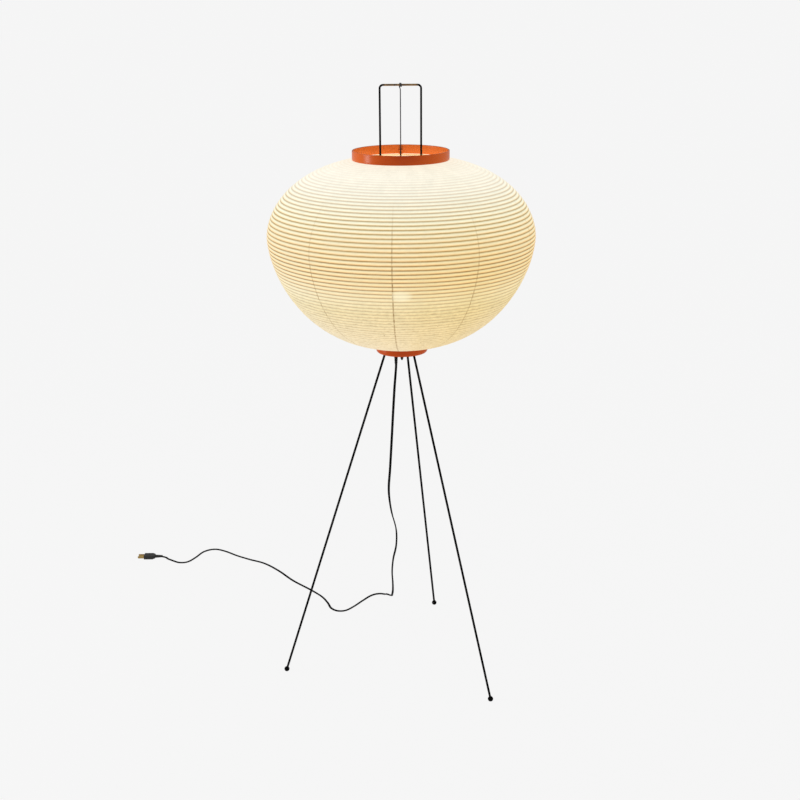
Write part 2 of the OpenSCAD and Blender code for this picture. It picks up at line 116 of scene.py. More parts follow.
def cord_centres(steps=8):
    """Centres of the cord's rings, and how far the flat cord is turned over at each, in radians."""
    route = [Vector(p) for p in cord_route]
    route = [2 * route[0] - route[1]] + route + [2 * route[-1] - route[-2]]
    centres = []
    turns = []
    for i in range(1, len(route) - 2):
        for k in range(steps):
            share = k / steps
            centres.append(smooth(*route[i - 1:i + 3], share))
            turns.append(math.radians(cord_lie[i - 1] * (1 - share) + cord_lie[i] * share))
    centres.append(route[-2])
    turns.append(math.radians(cord_lie[-1]))
    for centre, turn in zip(centres, turns):
        if centre.z < on_floor:
            centre.z = core_r + core_x * abs(math.sin(turn)) + off_floor
    return centres, turns


def ring_faces(rings, count):
    """The four-sided faces between closed rings of points that follow each other."""
    faces = []
    for i in range(rings - 1):
        for k in range(count):
            n = (k + 1) % count
            faces.append((i * count + k, i * count + n, (i + 1) * count + n, (i + 1) * count + k))
    return faces


def tube(name, rings):
    """A closed tube through rings of points, with a map that runs round it and along it in metres."""
    count = len(rings[0])
    caps = [tuple(range(count - 1, -1, -1)), tuple((len(rings) - 1) * count + k for k in range(count))]
    mesh = bpy.data.meshes.new(name)
    mesh.from_pydata([p for ring in rings for p in ring], [], ring_faces(len(rings), count) + caps)
    along = [0.0]
    for before, after in zip(rings, rings[1:]):
        along.append(along[-1] + (sum(after, Vector()) - sum(before, Vector())).length / count)
    uv = mesh.uv_layers.new(name="UVMap")
    for face in mesh.polygons:
        for corner in face.loop_indices:
            vertex = mesh.loops[corner].vertex_index
            uv.data[corner].uv = (vertex % count / count, along[vertex // count])
    return in_scene(name, mesh)


def pick(piece):
    """Selects the piece and nothing else."""
    bpy.ops.object.select_all(action="DESELECT")
    bpy.context.view_layer.objects.active = piece
    piece.select_set(True)


def finished(piece, angle=35):
    """Closes doubled points, turns every face outwards and smooths all edges below the angle."""
    pick(piece)
    bpy.ops.object.mode_set(mode="EDIT")
    bpy.ops.mesh.select_all(action="SELECT")
    bpy.ops.mesh.remove_doubles(threshold=0.000002)
    bpy.ops.mesh.normals_make_consistent(inside=False)
    bpy.ops.object.mode_set(mode="OBJECT")
    bpy.ops.object.shade_smooth_by_angle(angle=math.radians(angle))
    return piece


def new_finish(name):
    """A new material with its node tree and its shader."""
    material = bpy.data.materials.new(name)
    material.use_nodes = True
    return material, material.node_tree, material.node_tree.nodes["Principled BSDF"]


def feed(node, inputs):
    """Sets each named input of a node to a value, or joins it to the output that is given for it."""
    for key, value in inputs.items():
        socket = node.inputs[key]
        if isinstance(value, bpy.types.NodeSocket):
            node.id_data.links.new(value, socket)
        elif socket.type == "RGBA":
            socket.default_value = (*value, 1)
        else:
            socket.default_value = value


def add_node(tree, kind, output, inputs=None, **settings):
    """Adds a node with its settings and inputs, and gives back its output of that name."""
    node = tree.nodes.new("ShaderNode" + kind)
    for key, value in settings.items():
        setattr(node, key, value)
    feed(node, inputs or {})
    return node.outputs[output]


def ramp(tree, value, stops, ease="LINEAR"):
    """The colours of a ramp. Each stop is a place with a linear colour, or with one number for a grey."""
    colour = add_node(tree, "ValToRGB", "Color", {"Fac": value})
    colour.node.color_ramp.interpolation = ease
    marks = colour.node.color_ramp.elements
    while len(marks) < len(stops):
        marks.new(0.5)
    for mark, (place, tone) in zip(marks, stops):
        mark.position = place
        mark.color = (*tone, 1) if isinstance(tone, tuple) else (tone, tone, tone, 1)
    return colour


def noise(tree, place, scale, detail, roughness=0.5):
    """The value of a noise at a place."""
    inputs = {"Vector": place, "Scale": scale, "Detail": detail, "Roughness": roughness}
    return add_node(tree, "TexNoise", "Fac", inputs)


def between(tree, value, low, high):
    """A value from 0 to 1, carried to a range."""
    return add_node(tree, "MapRange", "Result", {"Value": value, "To Min": low, "To Max": high})


def bumped(tree, height, strength, depth):
    """A surface raised by a height."""
    return add_node(tree, "Bump", "Normal", {"Height": height, "Strength": strength, "Distance": depth})


def grained(name, dark, light, patch, grain, rough, depth, metallic=0.0, shine=0.5):
    """A finish whose colour drifts in patches and whose shine and surface follow a finer grain.
    Patch and grain are counts per metre, rough is the lowest and highest roughness."""
    material, tree, shader = new_finish(name)
    place = add_node(tree, "TexCoord", "Object")
    drift = noise(tree, place, patch, 3.0, 0.6)
    fine = noise(tree, place, grain, 4.0, 0.65)
    feed(shader, {
        "Base Color": ramp(tree, drift, [(0.3, dark), (0.7, light)]),
        "Roughness": between(tree, fine, *rough),
        "Normal": bumped(tree, fine, 0.6, depth),
        "Metallic": metallic,
        "Specular IOR Level": shine,
    })
    return material


cord_middles, cord_turns = cord_centres()
cord_rings = []
for i, middle in enumerate(cord_middles):
    way = cord_middles[min(i + 1, len(cord_middles) - 1)] - cord_middles[max(i - 1, 0)]
    hangs = way.xy.length < 0.02 * way.length
    level = Vector((1, 0, 0)) if hangs else Vector((way.y, -way.x, 0)).normalized()
    turned_side = Matrix.Rotation(cord_turns[i], 3, way.normalized()) @ level
    upright = way.normalized().cross(turned_side)
    ring = []
    for lobe in (1, -1):
        for k in range(lobe_points):
            angle = math.radians(lobe_start + lobe_step * k)
            x = lobe * (core_x + core_r * math.cos(angle))
            y = lobe * core_r * math.sin(angle)
            ring.append(middle + x * turned_side + y * upright)
    cord_rings.append(ring)
mains_cord = finished(tube("flat_cord", cord_rings), 60)
cord_black = grained(
    "cord_black", (0.0012, 0.0012, 0.0012), (0.0034, 0.0032, 0.0030), patch=9, grain=700,
    rough=(0.50, 0.62), depth=0.00002, shine=0.06,
)
mains_cord.data.materials.append(cord_black)
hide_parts("mains_cord")
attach(mains_cord, "stand")


# ---- Cord gland
# A moulded black bush pushed up through the hub plate. Its lower end is a tapered, ribbed
# sleeve that keeps the cord from bending sharply where it leaves the hub.
gland_x = -0.012
gland_y = 0.005
gland_top_z = 0.7055
gland_seat_z = 0.698
gland_flange_r = 0.006
gland_flange_h = 0.0025
gland_r = 0.0046
relief_end_z = 0.666
relief_end_r = 0.0027
relief_ridges = 6
ridge_height = 0.0004


def named(name):
    """The piece just made, under its name."""
    piece = bpy.context.object
    piece.name = name
    piece.data.name = name
    return piece


def turned(name, outline, steps=48, middle=(0, 0)):
    """A piece turned on a lathe: one point is walked along the outline, (radius, height), and spun."""
    bpy.ops.object.select_all(action="DESELECT")
    bpy.ops.mesh.primitive_plane_add(size=0.001, location=(0, 0, 0))
    named(name)
    bpy.ops.object.mode_set(mode="EDIT")
    bpy.ops.mesh.select_mode(type="VERT")
    bpy.ops.mesh.select_all(action="SELECT")
    bpy.ops.mesh.merge(type="CENTER")
    start = (middle[0] + outline[0][0], middle[1], outline[0][1])
    bpy.ops.transform.translate(value=start)
    for here, there in zip(outline, outline[1:]):
        step = (there[0] - here[0], 0, there[1] - here[1])
        bpy.ops.mesh.extrude_region_move(TRANSFORM_OT_translate={"value": step})
    bpy.ops.mesh.select_all(action="SELECT")
    bpy.ops.mesh.spin(
        steps=steps, angle=2 * math.pi, center=(middle[0], middle[1], 0), axis=(0, 0, 1)
    )
    bpy.ops.object.mode_set(mode="OBJECT")
    return finished(bpy.context.object)


def eased(piece, width, segments=2):
    """Rounds the piece's sharp edges a little, as every moulded or machined edge is."""
    pick(piece)
    bevel = piece.modifiers.new("eased", "BEVEL")
    bevel.width = width
    bevel.segments = segments
    bevel.limit_method = "ANGLE"
    bevel.angle_limit = math.radians(35)
    bpy.ops.object.modifier_apply(modifier=bevel.name)
    bpy.ops.object.shade_smooth_by_angle(angle=math.radians(35))
    return piece


def relief_outline(end_r, start_r, end_z, start_z, ridges, height):
    """The outline of a tapered sleeve from its thin end to its thick one, with raised rings."""
    outline = []
    pitch = (start_z - end_z) / ridges
    for k in range(ridges):
        z = end_z + k * pitch
        r = end_r + (start_r - end_r) * k / ridges
        crest = r + height
        outline += [(r, z), (r, z + 0.4 * pitch), (crest, z + 0.5 * pitch), (crest, z + 0.9 * pitch)]
    return outline


gland_flange_z = gland_seat_z - gland_flange_h
gland = turned(
    "cord_bush",
    [(0, relief_end_z)]
    + relief_outline(
        relief_end_r, gland_r - ridge_height, relief_end_z, gland_flange_z, relief_ridges, ridge_height
    )
    + [(gland_r, gland_flange_z), (gland_flange_r, gland_flange_z), (gland_flange_r, gland_seat_z),
       (gland_r, gland_seat_z), (gland_r, gland_top_z), (0, gland_top_z)],
    steps=32, middle=(gland_x, gland_y),
)
eased(gland, 0.00025)
gland_black = grained(
    "gland_black", (0.004, 0.004, 0.004), (0.010, 0.0095, 0.009), patch=60, grain=1400,
    rough=(0.45, 0.60), depth=0.00003, shine=0.15,
)
gland.data.materials.append(gland_black)
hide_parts("cord_gland")
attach(gland, "stand")


# ---- Plug
# A small flat two-blade plug, moulded in black round the end of the cord. Its body has
# rounded corners, a grip waist with ridges, and a tapered sleeve towards the cord.
plug_x = -0.630
plug_y = 0.520
plug_z = 0.0046
plug_neck_l = 0.008
plug_l = 0.028
plug_w = 0.020
plug_h = 0.009
plug_nose_w = 0.014
plug_nose_l = 0.006
blade_l = 0.016
blade_w = 0.0015
blade_h = 0.006
blade_pitch = 0.0127
blade_edge = 0.0016
nose_thin = 0.72
grip_hollow = 0.0007
grip_margin = 0.0026
ridge_count = 4
ridge_start = 0.006
ridge_pitch = 0.0034
ridge_l = 0.0014
ridge_half_w = 0.0056
ridge_mid_z = 0.0036
ridge_half_h = 0.0006
plug_sleeve_l = 0.020
plug_sleeve_r = 0.0042
plug_ridge_h = 0.0003
plug_sleeve_x = plug_x + 0.011


def block(name, low, high):
    """A cube primitive at its size and place, with its object at the origin."""
    bpy.ops.object.select_all(action="DESELECT")
    middle = [(a + b) / 2 for a, b in zip(low, high)]
    bpy.ops.mesh.primitive_cube_add(size=1, location=middle)
    piece = named(name)
    piece.scale = [b - a for a, b in zip(low, high)]
    bpy.ops.object.transform_apply()
    return piece


def choose(piece, kind, test):
    """Selects, in edit mode, the faces, edges or points that the test picks by their place."""
    mesh = bmesh.from_edit_mesh(piece.data)
    bpy.ops.mesh.select_mode(type=kind)
    for element in (*mesh.verts, *mesh.edges, *mesh.faces):
        element.select = False
    chosen = {"VERT": mesh.verts, "EDGE": mesh.edges, "FACE": mesh.faces}[kind]
    for element in chosen:
        if test(element):
            element.select_set(True)
    mesh.select_flush_mode()
    bmesh.update_edit_mesh(piece.data)


def seated(piece, seat):
    """Puts a piece in its place and leaves its object at the origin."""
    pick(piece)
    piece.matrix_world = seat
    bpy.ops.object.transform_apply()
    return piece


def joined(piece, part):
    """Makes the part one with the piece."""
    pick(piece)
    part.select_set(True)
    bpy.ops.object.join()


plug_front_x = plug_x - plug_neck_l
plug_back_x = plug_front_x - plug_l
plug = block(
    "plug_moulding",
    (plug_back_x, plug_y - plug_w / 2, plug_z - plug_h / 2),
    (plug_front_x, plug_y + plug_w / 2, plug_z + plug_h / 2),
)
bpy.ops.object.mode_set(mode="EDIT")
choose(plug, "FACE", lambda f: f.normal.x > 0.9)
bpy.ops.mesh.inset(thickness=0.0001)
bpy.ops.mesh.select_all(action="SELECT")
bpy.ops.mesh.bisect(plane_co=(plug_front_x - plug_nose_l, 0, 0), plane_no=(1, 0, 0))
choose(plug, "VERT", lambda v: v.co.x > plug_front_x - 0.0001)
bpy.ops.transform.resize(
    value=(1, plug_nose_w / plug_w, nose_thin), center_override=(plug_front_x, plug_y, plug_z)
)
for side in (1, -1):
    choose(
        plug, "FACE",
        lambda f: f.normal.z * side > 0.9 and f.calc_center_median().x < plug_front_x - plug_nose_l,
    )
    bpy.ops.mesh.inset(thickness=grip_margin, depth=-grip_hollow)
bpy.ops.object.mode_set(mode="OBJECT")
eased(plug, 0.0009, 3)
for k in range(ridge_count):
    ridge_x = plug_back_x + ridge_start + ridge_pitch * k
    for side in (1, -1):
        ridge_z = plug_z + side * ridge_mid_z
        ridge = block(
            f"ridge_{k}", (ridge_x, plug_y - ridge_half_w, ridge_z - ridge_half_h),
            (ridge_x + ridge_l, plug_y + ridge_half_w, ridge_z + ridge_half_h),
        )
        joined(plug, eased(ridge, 0.0003))
sleeve = turned(
    "plug_sleeve",
    [(0, 0)] + relief_outline(relief_end_r, plug_sleeve_r, 0, plug_sleeve_l, relief_ridges, plug_ridge_h)
    + [(plug_sleeve_r, plug_sleeve_l), (0, plug_sleeve_l)],
    steps=32,
)
eased(sleeve, 0.00015)
seated(sleeve, Matrix.Translation((plug_sleeve_x, plug_y, plug_z)) @ Matrix.Rotation(-math.pi / 2, 4, "Y"))
joined(plug, sleeve)
plug_black = grained(
    "plug_black", (0.008, 0.008, 0.008), (0.018, 0.017, 0.016), patch=70, grain=1600,
    rough=(0.38, 0.55), depth=0.00006,
)
plug.data.materials.append(plug_black)
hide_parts("plug_body")
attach(plug, "stand")

plug_brass = grained(
    "plug_brass", (0.50, 0.33, 0.11), (0.66, 0.46, 0.17), patch=90, grain=1300,
    rough=(0.20, 0.42), depth=0.00003, metallic=1.0,
)
for index, side in enumerate((1, -1)):
    blade_y = plug_y + side * blade_pitch / 2
    blade = block(
        f"plug_blade_{index + 1}", (plug_back_x - blade_l, blade_y - blade_w / 2, plug_z - blade_h / 2),
        (plug_back_x, blade_y + blade_w / 2, plug_z + blade_h / 2),
    )
    bpy.ops.object.mode_set(mode="EDIT")
    choose(blade, "EDGE", lambda e: all(v.co.x < plug_back_x - 0.5 * blade_l for v in e.verts)
           and abs(e.verts[0].co.y - e.verts[1].co.y) > 0.0005)
    bpy.ops.mesh.bevel(offset=blade_edge, segments=3)
    bpy.ops.object.mode_set(mode="OBJECT")
    eased(blade, 0.0002)
    blade.data.materials.append(plug_brass)
    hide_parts("plug_blades")
    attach(blade, "stand")


# ---- Legs
# Three straight rods of 4.6 mm steel, painted black, that spread from the hub. The top end of
# each is threaded for its socket, and the foot end is let into a ball.
apex_z = 0.800
foot_reach = 0.258
first_leg_turn = 193.4
leg_r = 0.0023
ball_r = 0.0055
ball_flat_r = 0.0015
ball_z = math.sqrt(ball_r ** 2 - ball_flat_r ** 2)
leg_splay = math.atan2(foot_reach, apex_z - ball_z)
socket_top_z = 0.714
socket_roof = 0.002
hub_z = 0.698
thread_l = 0.010
thread_pitch = 0.0008
thread_depth = 0.00035


def leg_seat(index):
    """The place of one leg: its foot's middle, with +Z towards the hub."""
    return (
        Matrix.Rotation(math.radians(first_leg_turn + 120 * index), 4, "Z")
        @ Matrix.Translation((foot_reach, 0, ball_z))
        @ Matrix.Rotation(-leg_splay, 4, "Y")
    )


def up_leg(z):
    """How far along a leg a height is."""
    return (z - ball_z) / math.cos(leg_splay)


def threaded(r, from_z, to_z, pitch, depth):
    """The outline of a cut thread, ridge after ridge."""
    count = int(abs(to_z - from_z) / pitch)
    step = (to_z - from_z) / count
    outline = []
    for k in range(count):
        outline += [(r - depth, from_z + k * step)]
        outline += [(r, from_z + (k + share) * step) for share in (0.35, 0.65)]
    return outline


leg_black = grained(
    "leg_black", (0.0008, 0.0008, 0.0009), (0.0020, 0.0019, 0.0018), patch=14, grain=500,
    rough=(0.46, 0.56), depth=0.00001, shine=0.05,
)
leg_end = up_leg(socket_top_z) - socket_roof
for index, name in enumerate(("left", "right", "back")):
    rod = turned(
        f"rod_{name}",
        [(0, 0), (leg_r - 0.0003, 0), (leg_r, 0.0003), (leg_r, leg_end - thread_l)]
        + threaded(leg_r, leg_end - thread_l, leg_end - 0.0005, thread_pitch, thread_depth)
        + [(leg_r - 0.0006, leg_end), (0, leg_end)],
        steps=20,
    )
    seated(rod, leg_seat(index))
    rod.data.materials.append(leg_black)
    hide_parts(f"leg_{name}")
    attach(rod, "stand")


# ---- Ball feet
# Turned steel balls, 11 mm across, drilled for the rod, painted black with it, and
# stoned flat underneath where they stand.
ball_hole_r = leg_r + 0.00003
ball_mouth = 0.0003
ball_arc_steps = 18
for index, name in enumerate(("left", "right", "back")):
    mouth_angle = math.asin((ball_hole_r + ball_mouth) / ball_r)
    arc = [mouth_angle + (math.pi - mouth_angle) * k / ball_arc_steps for k in range(ball_arc_steps + 1)]
    ball = turned(
        f"ball_foot_{name}",
        [(0, 0), (ball_hole_r, 0), (ball_hole_r, ball_r * math.cos(mouth_angle) - ball_mouth)]
        + [(ball_r * math.sin(a), ball_r * math.cos(a)) for a in arc],
        steps=32,
    )
    seated(ball, leg_seat(index))
    bpy.ops.object.mode_set(mode="EDIT")
    bpy.ops.mesh.select_all(action="SELECT")
    bpy.ops.mesh.bisect(
        plane_co=(0, 0, 0), plane_no=(0, 0, 1), use_fill=True, clear_inner=True, threshold=0.0000001
    )
    bpy.ops.object.mode_set(mode="OBJECT")
    finished(ball, 40)
    ball.data.materials.append(leg_black)
    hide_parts("foot_balls")
    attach(ball, "stand")


# ---- Hub
# A turned steel plate lies on the lower ring's flange. The three angled sockets are welded
# to it, and all of it is painted black.
hub_black = grained(
    "hub_black", (0.005, 0.005, 0.005), (0.012, 0.012, 0.011), patch=45, grain=900,
    rough=(0.40, 0.58), depth=0.00006,
)


def painted(names, finish):
    """Gives the plain pieces of these names their finish."""
    for name in names:
        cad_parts[name].data.materials.clear()
        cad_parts[name].data.materials.append(finish)


painted(("hub_plate", "leg_sockets"), hub_black)


# ---- Stud, nuts and screws
# The stud runs down the lamp's axis, painted black like the hub, and two zinc-plated nuts on
# it hold the hub and the lampholder. Two slotted screws hold the guide tubes.
stud_r = 0.003
stud_low_z = 0.676
stud_high_z = 0.717
stud_point_r = 0.0016
stud_point_h = 0.003
nut_flat_r = 0.005
nut_h = 0.005
nut_corner = 0.0006
nut_mouth = 0.0003
lower_nut_z = 0.693
upper_nut_z = 0.711
bush_nut_z = 0.701
bush_nut_h = 0.003
stud_pitch = 0.001
stud_thread = 0.0004
fit_gap = 0.00002


def nut(name, low_z, height, bore_r, middle=(0, 0)):
    """A hexagon nut: a turned ring whose outer walls are pushed out to six flats and corners."""
    corner_r = nut_flat_r / math.cos(math.pi / 6)
    top_z = low_z + height
    piece = turned(
        name,
        [(bore_r, low_z + nut_mouth), (bore_r + nut_mouth, low_z), (nut_flat_r, low_z),
         (corner_r, low_z + nut_corner), (corner_r, top_z - nut_corner), (nut_flat_r, top_z),
         (bore_r + nut_mouth, top_z), (bore_r, top_z - nut_mouth), (bore_r, low_z + nut_mouth)],
        middle=middle,
    )
    for vertex in piece.data.vertices:
        out = Vector((vertex.co.x - middle[0], vertex.co.y - middle[1]))
        if out.length > nut_flat_r + 0.0001:
            turn = math.atan2(out.y, out.x) % (math.pi / 3) - math.pi / 6
            out *= nut_flat_r / math.cos(turn) / corner_r
            vertex.co.x, vertex.co.y = middle[0] + out.x, middle[1] + out.y
    return finished(piece, 25)


zinc = grained(
    "zinc", (0.42, 0.42, 0.43), (0.58, 0.57, 0.56), patch=160, grain=1500,
    rough=(0.28, 0.46), depth=0.00003, metallic=1.0,
)
stud = turned(
    "threaded_stud",
    [(0, stud_low_z), (stud_point_r, stud_low_z), (stud_r - 0.0005, stud_low_z + stud_point_h)]
    + threaded(stud_r, stud_low_z + stud_point_h, stud_high_z - 0.0005, stud_pitch, stud_thread)
    + [(stud_r - 0.0006, stud_high_z), (0, stud_high_z)],
    steps=32,
)
stud.data.materials.append(hub_black)
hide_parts("centre_stud")
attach(stud, "stand")
for name, low_z in (("lower_nut", lower_nut_z), ("upper_nut", upper_nut_z)):
    stud_nut = nut(name, low_z, nut_h, stud_r + fit_gap)
    stud_nut.data.materials.append(zinc)
    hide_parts("stud_nuts")
    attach(stud_nut, "stand")
bush_nut = nut("bush_nut", bush_nut_z, bush_nut_h, gland_r + fit_gap, middle=(gland_x, gland_y))
bush_nut.data.materials.append(gland_black)
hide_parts("gland_nut")
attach(bush_nut, "stand")

upright_x = 0.0395
screw_head_r = 0.0029
screw_head_h = 0.002
screw_brim = 0.0008
screw_r = 0.00203
screw_top_z = 0.707
screw_pitch = 0.0007
screw_thread = 0.0003
slot_half_l = 0.004
slot_half_w = 0.0004
slot_low_z = hub_z - 0.003
slot_top_z = hub_z - 0.0013
head_turns = [math.radians(15 * k) for k in range(1, 7)]
dome_h = screw_head_h - screw_brim
head_arc = [(screw_head_r * math.sin(a), hub_z - screw_brim - dome_h * math.cos(a)) for a in head_turns]
for index, side in enumerate((-1, 1)):
    screw = turned(
        f"guide_screw_{index + 1}",
        [(0, hub_z - screw_head_h)] + head_arc + [(screw_head_r, hub_z), (screw_r, hub_z)]
        + threaded(screw_r, hub_z + 0.0002, screw_top_z, screw_pitch, screw_thread) + [(0, screw_top_z)],
        steps=32, middle=(side * upright_x, 0),
    )
    slot_cutter = block(
        "slot_cutter", (side * upright_x - slot_half_l, -slot_half_w, slot_low_z),
        (side * upright_x + slot_half_l, slot_half_w, slot_top_z),
    )
    cut = screw.modifiers.new("slot", "BOOLEAN")
    cut.operation = "DIFFERENCE"
    cut.object = slot_cutter
    pick(screw)
    bpy.ops.object.modifier_apply(modifier=cut.name)
    bpy.data.objects.remove(slot_cutter)
    finished(screw, 30)
    screw.data.materials.append(zinc)
    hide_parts("guide_screws")
    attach(screw, "stand")


# ---- Lampholder
# A moulded black holder for a screw bulb: a cap with the leads and the switch in it, and a
# ribbed sleeve screwed to the cap. A ceramic core with a brass contact sits inside, and a
# brass spacer lifts it all off the hub.
cap_z = 0.708
cap_foot_r = 0.014
cap_r = 0.0205
cap_shoulder_z = 0.716
cap_top_z = 0.730
cap_floor = 0.003
sleeve_r = 0.0195
sleeve_bore_r = 0.0136
sleeve_low_z = 0.733
sleeve_shoulder_z = 0.7315
sleeve_neck_z = 0.735
sleeve_top_z = 0.764
grip_low_z = 0.739
grip_high_z = 0.7585
grip_rib_h = 0.0005
grip_ribs = 36
grip_step = 360 / (3 * grip_ribs)
groove_h = 0.0005
holder_black = grained(
    "holder_black", (0.007, 0.0066, 0.0062), (0.017, 0.016, 0.015), patch=55, grain=1100,
    rough=(0.24, 0.38), depth=0.00003,
)
cap_in_r = cap_r - 0.0025
cap_hollow_r = 0.012
cap_hollow_z = 0.717
cap_bore_r = stud_r + fit_gap
groove_r = cap_r - groove_h
holder_cap = turned(
    "holder_cap_shell",
    [(cap_bore_r, cap_z), (cap_foot_r, cap_z), (cap_r, cap_shoulder_z), (cap_r, cap_top_z - 0.004),
     (groove_r, cap_top_z - 0.0035), (groove_r, cap_top_z - 0.0028), (cap_r, cap_top_z - 0.0023),
     (cap_r, cap_top_z), (cap_in_r, cap_top_z), (cap_in_r, cap_hollow_z),
     (cap_hollow_r, cap_z + cap_floor), (cap_bore_r, cap_z + cap_floor), (cap_bore_r, cap_z)],
    steps=72,
)
eased(holder_cap, 0.0006)
holder_sleeve = turned(
    "holder_sleeve",
    [(cap_in_r, cap_top_z), (cap_r, cap_top_z), (cap_r, sleeve_shoulder_z), (sleeve_r, sleeve_neck_z),
     (sleeve_r, grip_low_z), (sleeve_r, grip_high_z), (sleeve_r, sleeve_top_z),
     (sleeve_bore_r, sleeve_top_z), (sleeve_bore_r, sleeve_low_z), (cap_in_r, sleeve_low_z),
     (cap_in_r, cap_top_z)],
    steps=3 * grip_ribs,
)


def on_grip_rib(face):
    """True for every third face round the sleeve's grip."""
    middle = face.calc_center_median()
    turn = math.degrees(math.atan2(middle.y, middle.x))
    outside = grip_low_z < middle.z < grip_high_z and middle.xy.length > cap_in_r
    return outside and round(turn / grip_step - 0.5) % 3 == 0


bpy.ops.object.mode_set(mode="EDIT")
choose(holder_sleeve, "FACE", on_grip_rib)
bpy.ops.mesh.inset(thickness=0.0001, depth=grip_rib_h, use_individual=True)
bpy.ops.object.mode_set(mode="OBJECT")
eased(holder_sleeve, 0.00025)
for piece, node in ((holder_cap, "holder_cap"), (holder_sleeve, "holder_shell")):
    piece.data.materials.append(holder_black)
    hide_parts(node)
    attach(piece, "stand")

porcelain = grained(
    "porcelain", (0.72, 0.69, 0.62), (0.84, 0.81, 0.75), patch=60, grain=600,
    rough=(0.12, 0.26), depth=0.00003,
)
holder_brass = grained(
    "holder_brass", (0.46, 0.30, 0.10), (0.62, 0.43, 0.16), patch=120, grain=1400,
    rough=(0.22, 0.44), depth=0.00003, metallic=1.0,
)
lead_cream = grained(
    "lead_cream", (0.55, 0.50, 0.40), (0.68, 0.63, 0.52), patch=80, grain=1200,
    rough=(0.40, 0.55), depth=0.00003,
)
painted(("holder_core",), porcelain)
painted(("holder_contact", "holder_spacer"), holder_brass)
painted(("lead_wires",), lead_cream)


# ---- Switch key
# A black moulded key on a short shaft in the side of the holder's cap. It has a round
# thumb disc with a wing across it, and it turns on round and round.
key_z = 0.7245
key_in_y = -0.0182
key_disc_y = -0.022
key_disc_t = 0.002
key_end_y = -0.031
key_r = 0.0065
key_shaft_r = 0.002
key_wing_w = 0.004
wing_inset = 0.0006
key_shaft_l = 0.0038
key_disc_l = 0.0058
key_round = 0.0004
key_wing_taper = (0.86, 1, 0.55)
key = turned(
    "turn_key",
    [(0, 0), (key_shaft_r, 0), (key_shaft_r, key_shaft_l), (key_r - key_round, key_shaft_l),
     (key_r, key_shaft_l + key_round), (key_r, key_disc_l - key_round), (key_r - key_round, key_disc_l),
     (0, key_disc_l)],
)
seated(key, Matrix.Translation((0, key_in_y, key_z)) @ Matrix.Rotation(math.pi / 2, 4, "X"))
wing = block(
    "wing", (wing_inset - key_r, key_end_y, key_z - key_wing_w / 2),
    (key_r - wing_inset, key_disc_y - key_disc_t + key_round, key_z + key_wing_w / 2),
)
bpy.ops.object.mode_set(mode="EDIT")
choose(wing, "FACE", lambda f: f.normal.y < -0.9)
bpy.ops.transform.resize(value=key_wing_taper, center_override=(0, key_end_y, key_z))
bpy.ops.object.mode_set(mode="OBJECT")
joined(key, eased(wing, 0.0007, 3))
key.data.materials.append(holder_black)
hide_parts("switch_key")
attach(key, "switch")


# ---- Bulb
# A 60 mm opal globe on a screw cap of thin rolled metal. It glows warm, and it lights the
# inside of the shade and of the upper ring.
globe_r = 0.030
globe_z = 0.820
globe_neck_r = 0.0145
screw_cap_r = 0.0133
screw_cap_low_z = 0.735
screw_cap_top_z = 0.765
cap_thread_z = 0.742
cap_thread_h = 0.018
cap_thread_depth = 0.0005
cap_threads = 5
button_r = 0.004
button_edge_z = 0.7365
button_top_z = 0.737
cone_r = 0.0115
cone_top_z = 0.7405
collar_z = 0.7615
glass_t = 0.0012
thread_marks = [k / 8 for k in range(8 * cap_threads + 1)]
screw_shell = turned(
    "bulb_screw_shell",
    [(0, screw_cap_low_z), (button_r - 0.001, screw_cap_low_z), (button_r, button_edge_z),
     (button_r, button_top_z), (cone_r, cone_top_z)]
    + [(screw_cap_r - cap_thread_depth * (1 - math.cos(2 * math.pi * mark)),
        cap_thread_z + cap_thread_h * mark / cap_threads) for mark in thread_marks]
    + [(screw_cap_r, collar_z), (screw_cap_r, screw_cap_top_z), (0, screw_cap_top_z)],
    steps=64,
)
bulb_metal = grained(
    "rolled_cap", (0.50, 0.48, 0.44), (0.66, 0.64, 0.60), patch=110, grain=900,
    rough=(0.20, 0.36), depth=0.00003, metallic=1.0,
)
screw_shell.data.materials.append(bulb_metal)
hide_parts("bulb_cap")
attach(screw_shell, "stand")


def globe_outline(r, neck_r):
    """The globe's line from its top to its neck, which narrows in a soft curve."""
    turns = [math.radians(a) for a in range(0, 136, 5)]
    line = [(r * math.sin(a), globe_z + r * math.cos(a)) for a in turns]
    low_r, low_z = line[-1]
    for k in range(1, 7):
        share = k / 6
        ease = 1 - (1 - share) ** 2
        line.append((low_r + (neck_r - low_r) * ease, low_z + (screw_cap_top_z + 0.004 - low_z) * share))
    return line + [(neck_r, screw_cap_top_z)]


globe = turned(
    "opal_globe",
    globe_outline(globe_r, globe_neck_r)
    + list(reversed(globe_outline(globe_r - glass_t, globe_neck_r - glass_t))),
    steps=64,
)
opal, tree, shader = new_finish("opal")
place = add_node(tree, "TexCoord", "Object")
cloud = noise(tree, place, 45.0, 3.0)
feed(shader, {
    "Base Color": (0.86, 0.83, 0.76),
    "Emission Color": ramp(tree, cloud, [(0.3, (1.0, 0.74, 0.42)), (0.7, (1.0, 0.80, 0.50))]),
    "Emission Strength": 2.0,
    "Roughness": between(tree, cloud, 0.16, 0.30),
    "Normal": bumped(tree, cloud, 0.2, 0.0001),
})
globe.data.materials.append(opal)
globe.visible_shadow = False
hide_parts("bulb_glass")
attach(globe, "stand")

filament_light = bpy.data.lights.new("bulb_light", "POINT")
filament_light.energy = 4
filament_light.color = (1.0, 0.72, 0.40)
filament_light.shadow_soft_size = 0.029
bulb_light = in_scene("bulb_light", filament_light)
bulb_light.location = (0, 0, globe_z)


